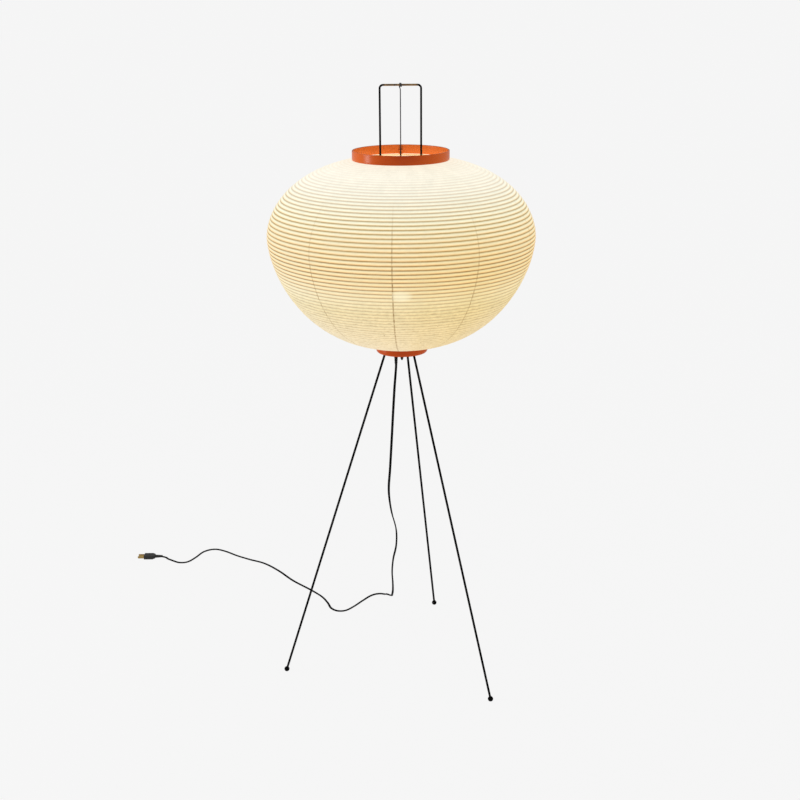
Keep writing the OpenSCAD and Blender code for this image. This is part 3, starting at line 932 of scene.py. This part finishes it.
# ---- Guide tubes
# Two black steel tubes stand on the hub in short collars, beside the bulb. A plated ferrule
# on top of each one grips the stretcher's upright, so that it slides and stays put.
painted(("guide_tubes", "guide_collars"), hub_black)
tube_top_z = 0.938
ferrule_low_z = 0.930
ferrule_top_z = 0.942
ferrule_r = 0.0043
tube_r = 0.003
wire_r = 0.00195
slide_gap = 0.00006
knurl_h = 0.0003
knurl_low_z = ferrule_low_z + 0.002
knurl_step = 0.0006
for index, side in enumerate((-1, 1)):
    ferrule = turned(
        f"ferrule_{index + 1}",
        [(tube_r + fit_gap, ferrule_low_z), (ferrule_r, ferrule_low_z)]
        + [(ferrule_r - knurl_h * (k % 2), knurl_low_z + knurl_step * k) for k in range(9)]
        + [(ferrule_r, ferrule_top_z - 0.001), (ferrule_r - 0.001, ferrule_top_z),
           (wire_r + slide_gap, ferrule_top_z), (wire_r + slide_gap, tube_top_z),
           (tube_r + fit_gap, tube_top_z), (tube_r + fit_gap, ferrule_low_z)],
        steps=40, middle=(side * upright_x, 0),
    )
    eased(ferrule, 0.00015)
    ferrule.data.materials.append(zinc)
    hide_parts("guide_ferrules")
    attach(ferrule, "stand")


# ---- Stretcher
# One length of 3.9 mm wire bent into a tall U, painted black. It pushes the upper ring up and stretches the
# paper. Along the top of the bar's middle its black turns a dull brown.
bar_z = 1.220
bend_r = 0.0065
wire_foot_z = 0.900
bend_steps = 10
bar_steps = 16
brown_half = 0.029
brown_fade = 0.0055
bpy.ops.object.select_all(action="DESELECT")
bpy.ops.mesh.primitive_circle_add(vertices=20, radius=wire_r, location=(-upright_x, 0, wire_foot_z))
bail = named("stretcher_wire")
bpy.ops.object.transform_apply()
bpy.ops.object.mode_set(mode="EDIT")
bpy.ops.mesh.select_mode(type="VERT")
bpy.ops.mesh.select_all(action="SELECT")
bpy.ops.mesh.extrude_region_move(TRANSFORM_OT_translate={"value": (0, 0, bar_z - bend_r - wire_foot_z)})
bpy.ops.mesh.spin(
    steps=bend_steps, angle=-math.pi / 2, center=(-upright_x + bend_r, 0, bar_z - bend_r), axis=(0, 1, 0)
)
bar_step = 2 * (upright_x - bend_r) / bar_steps
for k in range(bar_steps):
    bpy.ops.mesh.extrude_region_move(TRANSFORM_OT_translate={"value": (bar_step, 0, 0)})
bpy.ops.mesh.spin(
    steps=bend_steps, angle=-math.pi / 2, center=(upright_x - bend_r, 0, bar_z - bend_r), axis=(0, 1, 0)
)
bpy.ops.mesh.extrude_region_move(TRANSFORM_OT_translate={"value": (0, 0, wire_foot_z - bar_z + bend_r)})
choose(bail, "EDGE", lambda e: e.is_boundary)
bpy.ops.mesh.fill_holes(sides=0)
bpy.ops.object.mode_set(mode="OBJECT")
finished(bail, 40)
eased(bail, 0.0003)



def times(tree, a, b):
    """The product of two values."""
    return add_node(tree, "Math", "Value", {0: a, 1: b}, operation="MULTIPLY")


def faded(tree, value, low, high, to_low=0.0, to_high=1.0, ease="LINEAR"):
    """A value carried from one range to another, and held at both ends."""
    limits = {"From Min": low, "From Max": high, "To Min": to_low, "To Max": to_high}
    return add_node(tree, "MapRange", "Result", {"Value": value, **limits}, interpolation_type=ease)


def mixed(tree, share, a, b, kind="MIX"):
    """Two colours mixed by a share."""
    colours = {"Factor": share, "A": a, "B": b}
    return add_node(tree, "Mix", "Result", colours, data_type="RGBA", blend_type=kind)


wire_black, tree, shader = new_finish("wire_black")
place = add_node(tree, "TexCoord", "Object")
bar_noise = noise(tree, place, 120.0, 4.0, 0.7)
across = add_node(tree, "SeparateXYZ", "X", {"Vector": place})
height = across.node.outputs["Z"]
from_middle = add_node(tree, "Math", "Value", {0: across}, operation="ABSOLUTE")
# The top of the bar's middle is coloured a dull brown, broken up by noise.
on_bar = faded(tree, from_middle, brown_half + brown_fade, brown_half)
high = faded(tree, height, bar_z - 0.003, bar_z - 0.0005)
brown_top = times(tree, times(tree, on_bar, high), faded(tree, bar_noise, 0.30, 0.52))
feed(shader, {
    "Base Color": mixed(tree, brown_top, (0.0012, 0.0012, 0.0012), (0.26, 0.155, 0.065)),
    "Roughness": between(tree, bar_noise, 0.34, 0.52),
    "Normal": bumped(tree, bar_noise, 0.4, 0.00001),
    "Specular IOR Level": 0.06,
})
bail.data.materials.append(wire_black)
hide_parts("bail")
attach(bail, "stretcher")


# ---- Hanger wire
# Thin dark steel wire, wound round the bar in a tight eye at the top, and bent at the
# bottom into a hook that carries the cross wire of the upper ring.
hanger_r = 0.001
cross_r = 0.0015
cross_z = 1.083
eye_r = wire_r + 0.0001 + hanger_r
hook_r = cross_r + 0.0002 + hanger_r
eye_coils = 2
eye_pitch = 0.00204
stem_steps = 8


def wire(name, points, r, sides=12):
    """A bent wire: a curve through the points, given its thickness and made a mesh."""
    curve = bpy.data.curves.new(name, "CURVE")
    curve.dimensions = "3D"
    curve.bevel_depth = r
    curve.bevel_resolution = sides // 4
    curve.use_fill_caps = True
    line = curve.splines.new("POLY")
    line.points.add(len(points) - 1)
    for mark, point in zip(line.points, points):
        mark.co = (*point, 1)
    pick(in_scene(name, curve))
    bpy.ops.object.convert(target="MESH")
    return finished(bpy.context.object, 50)


def bent(middle_z, r, first, last, steps, across=0.0):
    """Points on an arc in the lamp's middle plane, in degrees, that drifts to one side as it goes round."""
    points = []
    for k in range(steps + 1):
        turn = math.radians(first + (last - first) * k / steps)
        x = across * (k / steps - 0.5)
        points.append((x, r * math.cos(turn), middle_z + r * math.sin(turn)))
    return points


stem_low_z = cross_z + hook_r
stem_top_z = bar_z - eye_r - 0.006
stem = [(0, 0, stem_low_z + (stem_top_z - stem_low_z) * k / stem_steps) for k in range(stem_steps + 1)]
into_eye = (-0.0007, 0, bar_z - eye_r - 0.003)
hook_line = bent(cross_z, hook_r, 0, -270, 24)
eye_line = bent(bar_z, eye_r, -90, -90 + 360 * eye_coils, 24 * eye_coils, across=eye_pitch * eye_coils)
hanger = wire("hanger", hook_line[:-1] + stem + [into_eye] + eye_line[1:], hanger_r)
hanger_steel = grained(
    "hanger_steel", (0.008, 0.008, 0.009), (0.075, 0.075, 0.080), patch=26, grain=1200,
    rough=(0.32, 0.48), depth=0.00003, metallic=0.5, shine=0.2,
)
hanger.data.materials.append(hanger_steel)
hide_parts("hanger_wire")
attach(hanger, "stretcher")


# ---- Rings
# Both rings are steamed wood, turned true and lacquered burnt orange in several thin coats.
# The upper one is open. The lower one has a flange that carries the hub plate.
top_ring_r = 0.0946
top_rim_z = 1.0975
top_low_z = 1.0795
ring_wall = 0.0024
low_ring_r = 0.052
low_ring_z = 0.696
low_ring_top_z = 0.712
flange_in_r = 0.0455
edge_r = 0.0009
low_edge_r = 0.0006
chamfer_in = 0.0016
chamfer_up = 0.0030


def rounded(corners, r, steps=4):
    """The closed outline through the corners, with each corner cut back by r and rounded."""
    line = []
    for before, corner, after in zip(corners[-1:] + corners[:-1], corners, corners[1:] + corners[:1]):
        corner = Vector(corner)
        start = corner + (Vector(before) - corner).normalized() * r
        end = corner + (Vector(after) - corner).normalized() * r
        for k in range(steps + 1):
            t = k / steps
            line.append(tuple(start * (1 - t) ** 2 + corner * 2 * t * (1 - t) + end * t ** 2))
    return line + line[:1]


orange, tree, shader = new_finish("burnt_orange")
place = add_node(tree, "TexCoord", "Object")
flow = add_node(tree, "Mapping", "Vector", {"Vector": place, "Scale": (1, 1, 3.5)})
coats = noise(tree, flow, 22.0, 2.0, 0.5)
skin = noise(tree, place, 420.0, 2.0)
outside = ramp(tree, coats, [
    (0.30, (0.41, 0.046, 0.002)), (0.55, (0.46, 0.056, 0.003)), (0.75, (0.50, 0.068, 0.004)),
])
# The inside colour is lighter and warmer: painted light from the bulb.
inside = ramp(tree, coats, [(0.30, (0.58, 0.142, 0.030)), (0.70, (0.63, 0.158, 0.038))])

# Painted light from the bulb: only the inside of the upper ring is painted lighter and warmer. It lies
# above a metre and within the wall.
level = add_node(tree, "Mapping", "Vector", {"Vector": place, "Scale": (1, 1, 0)})
from_axis = add_node(tree, "VectorMath", "Value", {0: level}, operation="LENGTH")
bulb_lit_wall = faded(tree, from_axis, top_ring_r - 0.0012, top_ring_r - 0.0018)
height = add_node(tree, "SeparateXYZ", "Z", {"Vector": place})
upper = add_node(tree, "Math", "Value", {0: height, 1: 1.0}, operation="GREATER_THAN")

# Painted sheen: the lacquer is painted brighter and warmer where it is seen at a slant, most of all on the
# upper ring.
slanting = add_node(tree, "LayerWeight", "Facing", {"Blend": 0.81})
painted_sheen = times(tree, slanting, between(tree, upper, 0.25, 1.0))
feed(shader, {
    "Base Color": mixed(
        tree, times(tree, bulb_lit_wall, upper), mixed(tree, painted_sheen, outside, (0.66, 0.120, 0.012)), inside
    ),
    "Roughness": between(tree, coats, 0.20, 0.27),
    "Normal": bumped(tree, skin, 0.04, 0.00001),
    "Specular IOR Level": 0.18,
})
upper_ring = turned(
    "upper_ring",
    rounded([(top_ring_r - ring_wall, top_low_z), (top_ring_r, top_low_z), (top_ring_r, top_rim_z),
             (top_ring_r - ring_wall, top_rim_z)], edge_r),
    steps=144,
)
low_in_r = low_ring_r - ring_wall
lower_ring = turned(
    "lower_ring",
    rounded([(flange_in_r, low_ring_z), (low_ring_r - chamfer_in, low_ring_z),
             (low_ring_r, low_ring_z + chamfer_up), (low_ring_r, low_ring_top_z),
             (low_in_r, low_ring_top_z), (low_in_r, hub_z), (flange_in_r, hub_z)], low_edge_r),
    steps=112,
)
for ring, node, body in ((upper_ring, "top_ring", "stretcher"), (lower_ring, "bottom_ring", "stand")):
    ring.data.materials.append(orange)
    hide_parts(node)
    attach(ring, body)


# ---- Cross wire and lugs
# A black wire runs across the upper ring from front to back. Its ends sit in two small
# lugs, screwed to the inside of the ring and lacquered with it.
painted(("cross_wire",), hub_black)
lug_in_y = 0.087
lug_out_y = 0.0918
lug_low_z = 1.0795
lug_w = 0.008
lug_h = 0.008
lug_boss = 0.0006
lug_margin = 0.0018
for index, side in enumerate((1, -1)):
    lug = block(
        f"lug_{index + 1}", (-lug_w / 2, min(side * lug_in_y, side * lug_out_y), lug_low_z),
        (lug_w / 2, max(side * lug_in_y, side * lug_out_y), lug_low_z + lug_h),
    )
    bpy.ops.object.mode_set(mode="EDIT")
    choose(lug, "FACE", lambda f: f.normal.y * side < -0.9)
    bpy.ops.mesh.inset(thickness=lug_margin)
    bpy.ops.mesh.extrude_region_move(TRANSFORM_OT_translate={"value": (0, side * lug_boss, 0)})
    bpy.ops.object.mode_set(mode="OBJECT")
    eased(lug, 0.0005, 3)
    lug.data.materials.append(orange)
    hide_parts("ring_lugs")
    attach(lug, "stretcher")


# ---- Ribs
# Split bamboo, 1.4 mm wide and 0.9 mm thick, bent into a hoop for each line of the shade.
# The paper is pasted over them, and they keep its shape.
shade_r = 0.264
belly_z = 0.932
paste_gap = 0.00005
paper_top_z = top_low_z - paste_gap
paper_top_r = top_ring_r - 0.0002
paper_low_r = low_ring_r - 0.0001
shoulder = (paper_top_z, paper_top_r, 2.45, 1.9)
bowl = (low_ring_top_z, paper_low_r, 2.45, 1.65)
rib_pitch = 0.008
rib_w = 0.0014
rib_t = 0.0009
rib_gap = 0.00003
paper_t = 0.0003


def arc_of(end_z, end_r, fullness, slope, steps=160):
    """One half of the shade's line, from the widest ring to a lacquered ring, as (radius, height)."""
    reach = (end_z - belly_z) / (1 - (end_r / shade_r) ** fullness) ** (1 / slope)
    line = []
    for k in range(steps + 1):
        z = belly_z + (end_z - belly_z) * math.sin(math.pi / 2 * k / steps)
        line.append((shade_r * (1 - ((z - belly_z) / reach) ** slope) ** (1 / fullness), z))
    return line


shade_line = np.array(list(reversed(arc_of(*bowl))) + arc_of(*shoulder)[1:])
shade_runs = np.concatenate([[0], np.cumsum(np.linalg.norm(np.diff(shade_line, axis=0), axis=1))])
shade_run = float(shade_runs[-1])
rib_count = int(shade_run / rib_pitch) - 1
rib_step = shade_run / (rib_count + 1)


def at_run(run, near=0.002):
    """The point of the shade's line at a distance along the paper, and the direction out of the paper."""
    before, here, after = (
        Vector(np.interp(run + step, shade_runs, shade_line[:, i]) for i in (0, 1))
        for step in (-near, 0, near)
    )
    along = (after - before).normalized()
    return here, Vector((along.y, -along.x))


# Each hoop starts as a circle at its place, pressed to a flat oval that lies against the paper.
bpy.ops.object.select_all(action="DESELECT")
for k in range(1, rib_count + 1):
    point, out = at_run(k * rib_step)
    flat_middle = point - out * (paper_t + rib_t / 2 + rib_gap)
    middle = Vector((flat_middle.x, 0, flat_middle.y))
    lean = Matrix.Rotation(-math.atan2(out.y, out.x), 4, "Y")
    bpy.ops.mesh.primitive_circle_add(vertices=8, radius=0.5, location=middle)
    if k == 1:
        ribs = named("bamboo_hoops")
        bpy.ops.object.transform_apply()
        bpy.ops.object.mode_set(mode="EDIT")
        bpy.ops.mesh.select_mode(type="VERT")
        bpy.ops.mesh.select_all(action="SELECT")
    section = bmesh.from_edit_mesh(ribs.data)
    for vertex in section.verts:
        if vertex.select:
            off = vertex.co - middle
            vertex.co = middle + lean @ Vector((off.x * rib_t, 0, off.y * rib_w))
    bmesh.update_edit_mesh(ribs.data)
bpy.ops.mesh.select_all(action="SELECT")
bpy.ops.mesh.spin(steps=96, angle=2 * math.pi, center=(0, 0, 0), axis=(0, 0, 1))
bpy.ops.object.mode_set(mode="OBJECT")
finished(ribs, 60)
bamboo = grained(
    "split_bamboo", (0.33, 0.21, 0.085), (0.52, 0.36, 0.17), patch=24, grain=800,
    rough=(0.45, 0.65), depth=0.00008,
)
ribs.data.materials.append(bamboo)
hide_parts("shade_ribs")
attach(ribs, "stand")
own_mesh(ribs)


# ---- Paper
# Ten gores of long-fibred cream paper, pasted over the ribs with narrow laps. The paper has shrunk tight,
# so it sinks a little from rib to rib. The bulb's light through it, with the ribs' shadows, is painted into
# its colour and its glow.
gore_count = 10
gore_w = 0.166
gore_l = 0.58
first_seam = -93.8
lap = 0.5
gore_columns = 8
sag = 0.0008
lap_rise = 0.00012
phases = (0.0, 0.10, 0.26, 0.50, 0.74, 0.90)
sags = (0.0, 0.08, 0.72, 1.0, 0.72, 0.08)
lip = 0.002
sway_depth = 0.00011
sway_steps = 24
fade_ribs = 3
hand = np.random.default_rng(11)

columns = []
for gore in range(gore_count):
    seam = first_seam + gore * 360 / gore_count
    columns += [(seam - lap / 2, lap_rise), (seam + lap / 2, lap_rise)]
    width = 360 / gore_count - lap
    columns += [(seam + lap / 2 + width * k / gore_columns, 0) for k in range(1, gore_columns)]
rows = [(k + phase, depth) for k in range(rib_count + 1) for phase, depth in zip(phases, sags)]
rows.append((rib_count + 1, 0.0))
sway = hand.normal(0, 1, (rib_count + 3, sway_steps))


def uneven(rib, turn):
    """A hand-wound rib's small error of radius, smooth round the shade and from rib to rib."""
    around = (turn % 360) / 360 * sway_steps
    a, share = int(around) % sway_steps, around % 1
    low = int(rib)
    up = rib - low
    ease = share * share * (3 - 2 * share)
    at = [sway[low + d][a] * (1 - ease) + sway[low + d][(a + 1) % sway_steps] * ease for d in (0, 1)]
    return at[0] * (1 - up) + at[1] * up


# The rows of points run from a lip inside the lower ring, up the shade, to a lip in the upper one.
flat_out = Vector((0, 0))
low_lip = Vector((paper_low_r - lip, low_ring_top_z + fit_gap))
top_lip = Vector((paper_top_r - lip, paper_top_z))
lines = [(0, 0, low_lip, flat_out)]
lines += [(mark, depth, *at_run(mark * rib_step)) for mark, depth in rows]
lines += [(rib_count + 1, 0, top_lip, flat_out)]
points = []
phase_marks = []
width_marks = []
for mark, depth, base, out in lines:
    fade = min(1, mark / fade_ribs, (rib_count + 1 - mark) / fade_ribs)
    for turn, rise in columns:
        shift = -sag * depth * (0.5 + 0.5 * fade) + rise * fade
        shift += sway_depth * uneven(mark, turn) * fade
        spot = base + out * shift
        angle = math.radians(turn)
        points.append((spot.x * math.cos(angle), spot.x * math.sin(angle), spot.y))
        phase_marks.append(mark)
        width_marks.append(2 * math.pi * spot.x / gore_count)
count = len(columns)
mesh = bpy.data.meshes.new("pasted_paper")
mesh.from_pydata(points, [], ring_faces(len(lines), count))
paper = in_scene("pasted_paper", mesh)
uv = mesh.uv_layers.new(name="UVMap")
for face in mesh.polygons:
    i, k = divmod(face.index, count)
    for corner, (row, column) in zip(face.loop_indices, ((i, k), (i, k + 1), (i + 1, k + 1), (i + 1, k))):
        turn = columns[column % count][0] - first_seam + (360 if column == count else 0)
        uv.data[corner].uv = (turn / 360, phase_marks[row * count] / (rib_count + 1))
mesh.attributes.new("rib", "FLOAT", "POINT").data.foreach_set("value", phase_marks)
mesh.attributes.new("gore_width", "FLOAT", "POINT").data.foreach_set("value", width_marks)
pick(paper)
thick = paper.modifiers.new("paper_thickness", "SOLIDIFY")
thick.thickness = paper_t
thick.offset = -1
bpy.ops.object.modifier_apply(modifier=thick.name)
bpy.ops.object.shade_smooth_by_angle(angle=math.radians(50))


def paper_finish():
    """Cream paper whose light from inside is painted on as glow: the painted glow falls off round the
    bulb's height, the ribs show as tan lines of painted shadow, the laps as thin darker ones, and the
    fibres as faint clouds and threads."""
    material, tree, shader = new_finish("cream_paper")

    def calc(operation, *values, clamp=False):
        inputs = dict(enumerate(values))
        return add_node(tree, "Math", "Value", inputs, operation=operation, use_clamp=clamp)

    def ranged(value, low, high, to_low, to_high, ease="SMOOTHSTEP"):
        return faded(tree, value, low, high, to_low, to_high, ease)

    def blended(share, a, b, kind="MIX"):
        return mixed(tree, share, a, b, kind)

    def fibres(scale, detail, roughness, stretch):
        spread = add_node(tree, "Mapping", "Vector", {"Vector": unrolled, "Scale": stretch})
        return noise(tree, spread, scale, detail, roughness)

    unrolled = add_node(tree, "TexCoord", "UV")
    across = add_node(tree, "SeparateXYZ", "X", {"Vector": unrolled})
    up = across.node.outputs["Y"]
    rib = add_node(tree, "Attribute", "Fac", attribute_name="rib")
    gore_width = add_node(tree, "Attribute", "Fac", attribute_name="gore_width")
    sheet_w = gore_count * gore_w
    pulp_w = 1.665
    drawn_out = 0.35

    clouds = fibres(26, 4, 0.6, (sheet_w, gore_l, 1))
    mottle = fibres(120, 3, 0.6, (sheet_w, gore_l, 1))
    threads = fibres(420, 2, 0.55, (pulp_w * drawn_out, gore_l, 1))
    crossing = fibres(420, 2, 0.55, (pulp_w, gore_l * drawn_out, 1))
    wander = fibres(60, 3, 0.6, (pulp_w, 1.2, 1))

    # The rib's line, from one rib up to the next, is painted shade: a tan band of painted shadow on the rib
    # that fades out above it, and a thin darker line of painted shade just under it, where the paper turns
    # in to the next hollow.
    loose = ranged(up, 0.34, 0.46, 0.80, 0.10)
    placed = calc("ADD", rib, calc("MULTIPLY", calc("SUBTRACT", wander, 0.5), loose))
    phase = calc("FRACT", placed)
    rib_shadow = ramp(tree, phase, [
        (0.0, 1.0), (0.18, 0.90), (0.30, 0.45), (0.44, 0.12), (0.54, 0.0), (0.80, 0.0), (0.90, 1.0),
    ])
    under_rib_shade = ramp(tree, phase, [
        (0.0, 0.80), (0.06, 0.38), (0.15, 0.0), (0.44, 0.0), (0.56, 0.14), (0.68, 0.36), (0.80, 0.62),
        (0.87, 1.0), (0.96, 1.0),
    ])
    drift = ranged(clouds, 0.3, 0.7, 0.80, 1.10, "LINEAR")
    rib_shadow_shown = calc("MULTIPLY", rib_shadow, drift, clamp=True)
    under_rib_shade_shown = calc("MULTIPLY", under_rib_shade, drift, clamp=True)

    # The lap of two gores: a thin darker line, faint where it runs up towards the top, and
    # fainter on the gores further round from the front one.
    gore_share = calc("PINGPONG", calc("MULTIPLY", across, gore_count), 0.5)
    off_seam = calc("MULTIPLY", gore_share, gore_width)
    lap_shown = ramp(tree, up, [
        (0.0, 0.50), (0.2, 0.65), (0.45, 0.95), (0.60, 0.60), (0.70, 0.25), (0.78, 0.0),
    ])
    lap_line = calc("MULTIPLY", ranged(off_seam, 0.0018, 0.0008, 0.0, 1.0), lap_shown)
    lap_line = calc("MULTIPLY", lap_line, ranged(mottle, 0.36, 0.60, 0.15, 1.0, "LINEAR"))
    lap_line = calc("MULTIPLY", lap_line, ranged(calc("PINGPONG", across, 0.5), 0.02, 0.07, 1.0, 0.62))

    # The painted glow between the ribs, and the painted shadow colour on them, from the lower ring up to
    # the upper one.
    glow = ramp(tree, up, [
        (0.0, (0.90, 0.78, 0.56)), (0.29, (0.88, 0.73, 0.44)), (0.38, (0.87, 0.73, 0.41)),
        (0.44, (0.945, 0.825, 0.51)), (0.52, (0.97, 0.83, 0.48)), (0.61, (0.975, 0.875, 0.57)),
        (0.70, (1.0, 0.99, 0.76)), (0.80, (1.0, 1.0, 0.85)), (1.0, (0.99, 0.92, 0.78)),
    ])
    rib_shadow_colour = ramp(tree, up, [
        (0.0, (0.70, 0.54, 0.31)), (0.30, (0.60, 0.46, 0.25)), (0.42, (0.56, 0.43, 0.24)),
        (0.48, (0.385, 0.24, 0.11)), (0.54, (0.30, 0.165, 0.055)), (0.60, (0.42, 0.27, 0.10)),
        (0.68, (0.44, 0.31, 0.12)), (0.75, (0.58, 0.47, 0.31)), (0.82, (0.80, 0.71, 0.58)),
        (0.90, (0.97, 0.90, 0.77)), (1.0, (0.93, 0.84, 0.68)),
    ])
    rib_shadow_strength = ramp(tree, up, [
        (0.30, 0.20), (0.42, 0.30), (0.48, 0.80), (0.56, 1.0), (0.66, 0.90), (0.76, 0.60),
        (0.86, 0.25), (1.0, 0.15),
    ])
    # The ribs' painted shadow tints the glow tan.
    rib_shadow_tan = blended(1.0, glow, (0.99, 0.74, 0.54), "MULTIPLY")
    colour = blended(calc("MULTIPLY", rib_shadow_shown, rib_shadow_strength), glow, rib_shadow_tan)
    colour = blended(under_rib_shade_shown, colour, rib_shadow_colour)
    colour = blended(lap_line, colour, (0.27, 0.15, 0.045))

    # Flecks of bark that the papermaker left in, most of them low down, and pale crossing fibres.
    specks = fibres(150, 2, 0.5, (sheet_w * 0.5, gore_l, 1))
    fleck = calc("MULTIPLY", ranged(specks, 0.685, 0.73, 0.0, 1.0), ranged(up, 0.42, 0.30, 0.0, 0.8))
    colour = blended(fleck, colour, (0.36, 0.24, 0.11))
    fibre = ranged(calc("MAXIMUM", threads, crossing), 0.55, 0.80, 0.0, 1.0)
    colour = blended(calc("MULTIPLY", fibre, 0.10), colour, (0.98, 0.90, 0.70))
    cloudy = ranged(clouds, 0.25, 0.75, 0.93, 1.05, "LINEAR")
    spread = ranged(up, 0.46, 0.38, 0.13, 0.42)
    finer = calc("ADD", calc("MULTIPLY", calc("SUBTRACT", mottle, 0.5), spread), 1.0)

    # A painted glow spot, small and soft, where the bulb shows through beside the front lap.
    spot_across = 0.0095
    spot_up = 0.457
    beside = calc("MULTIPLY", calc("SUBTRACT", across, spot_across), 96)
    above = calc("MULTIPLY", calc("SUBTRACT", up, spot_up), 62)
    off_spot = calc("ADD", calc("MULTIPLY", beside, beside), calc("MULTIPLY", above, above))
    colour = blended(ranged(off_spot, 2.4, 0.0, 0.0, 0.55), colour, (1.0, 0.93, 0.66))

    # Painted side light: the colour turns slowly round the shade, paler and cooler at the left front and
    # deeper at the right front, strongest from the widest part down and faint near the top.
    tone = ramp(tree, across, [
        (0.0, (1.0, 1.0, 1.0)), (0.05, (0.98, 0.955, 0.87)), (0.10, (0.96, 0.925, 0.80)),
        (0.17, (0.945, 0.93, 0.87)), (0.40, (1.0, 0.98, 0.97)), (0.60, (0.97, 0.95, 0.91)),
        (0.85, (0.95, 1.0, 1.12)), (0.93, (0.98, 1.0, 1.05)), (1.0, (1.0, 1.0, 1.0)),
    ], ease="EASE")
    side_lit = blended(1.0, colour, tone, "MULTIPLY")
    colour = blended(ranged(up, 0.76, 0.46, 0.12, 1.0), colour, side_lit)
    strength = calc("MULTIPLY", cloudy, finer)
    shade = add_node(tree, "VectorMath", "Vector", {0: colour, "Scale": strength}, operation="SCALE")

    weave = calc("ADD", threads, crossing)
    feed(shader, {
        "Base Color": blended(1.0, shade, (0.18, 0.18, 0.18), "MULTIPLY"),
        "Emission Color": shade,
        "Emission Strength": 0.90,
        "Roughness": ranged(mottle, 0.2, 0.8, 0.62, 0.85, "LINEAR"),
        "Specular IOR Level": 0.2,
        "Normal": bumped(tree, weave, 0.5, 0.00015),
    })
    return material


paper_look = paper_finish()
paper_look.cycles.emission_sampling = "NONE"
paper.data.materials.append(paper_look)
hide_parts("paper_skin")
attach(paper, "stand")
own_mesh(paper)


# ---- Floor and light
# A plain pale studio floor with a pale backdrop round it, and even light,
# with a narrow strip light to the left and a soft box to the right.
floor_size = 2000
bpy.ops.object.select_all(action="DESELECT")
bpy.ops.mesh.primitive_plane_add(size=floor_size, location=(0, 0, 0))
floor = bpy.context.object
floor.name = "studio_floor"


def self_lit(name, base, glow):
    """A dull white that gives off its own even light."""
    material, tree, shader = new_finish(name)
    feed(shader, {
        "Base Color": (base, base, base), "Roughness": 1.0, "Specular IOR Level": 0.0,
        "Emission Color": (1, 1, 1), "Emission Strength": glow,
    })
    material.cycles.emission_sampling = "NONE"
    return material


floor_paint = self_lit("floor_paint", 0.03, 0.90)
floor.data.materials.append(floor_paint)
floor.visible_glossy = False
backdrop_r = 40
backdrop_h = 120
bpy.ops.mesh.primitive_cylinder_add(
    vertices=128, radius=backdrop_r, depth=backdrop_h, end_fill_type="NOTHING"
)
backdrop = bpy.context.object
backdrop.name = "studio_backdrop"
backdrop_paint = self_lit("backdrop_paint", 0, 0.915)
backdrop.data.materials.append(backdrop_paint)
for seen_by in ("diffuse", "glossy", "transmission", "shadow"):
    setattr(backdrop, "visible_" + seen_by, False)
world = bpy.data.worlds.new("studio")
bpy.context.scene.world = world
world.use_nodes = True
feed(world.node_tree.nodes["Background"], {"Color": (1, 1, 1), "Strength": 0.5})
box_h = 2.2
box_side = 2.6
box_place_y = -0.3
box_place_z = 1.2
for name, side, width, energy in (("left_strip", -1, 0.6, 36), ("right_soft_box", 1, 1.0, 10)):
    box_data = bpy.data.lights.new(name, "AREA")
    box_data.shape = "RECTANGLE"
    box_data.size = width
    box_data.size_y = box_h
    box_data.energy = energy
    box = in_scene(name, box_data)
    box.visible_glossy = side < 0
    box.matrix_world = (
        Matrix.Translation((side * box_side, box_place_y, box_place_z))
        @ Matrix.Rotation(side * math.pi / 2, 4, "Z")
        @ Matrix.Rotation(math.pi / 2, 4, "X")
    )
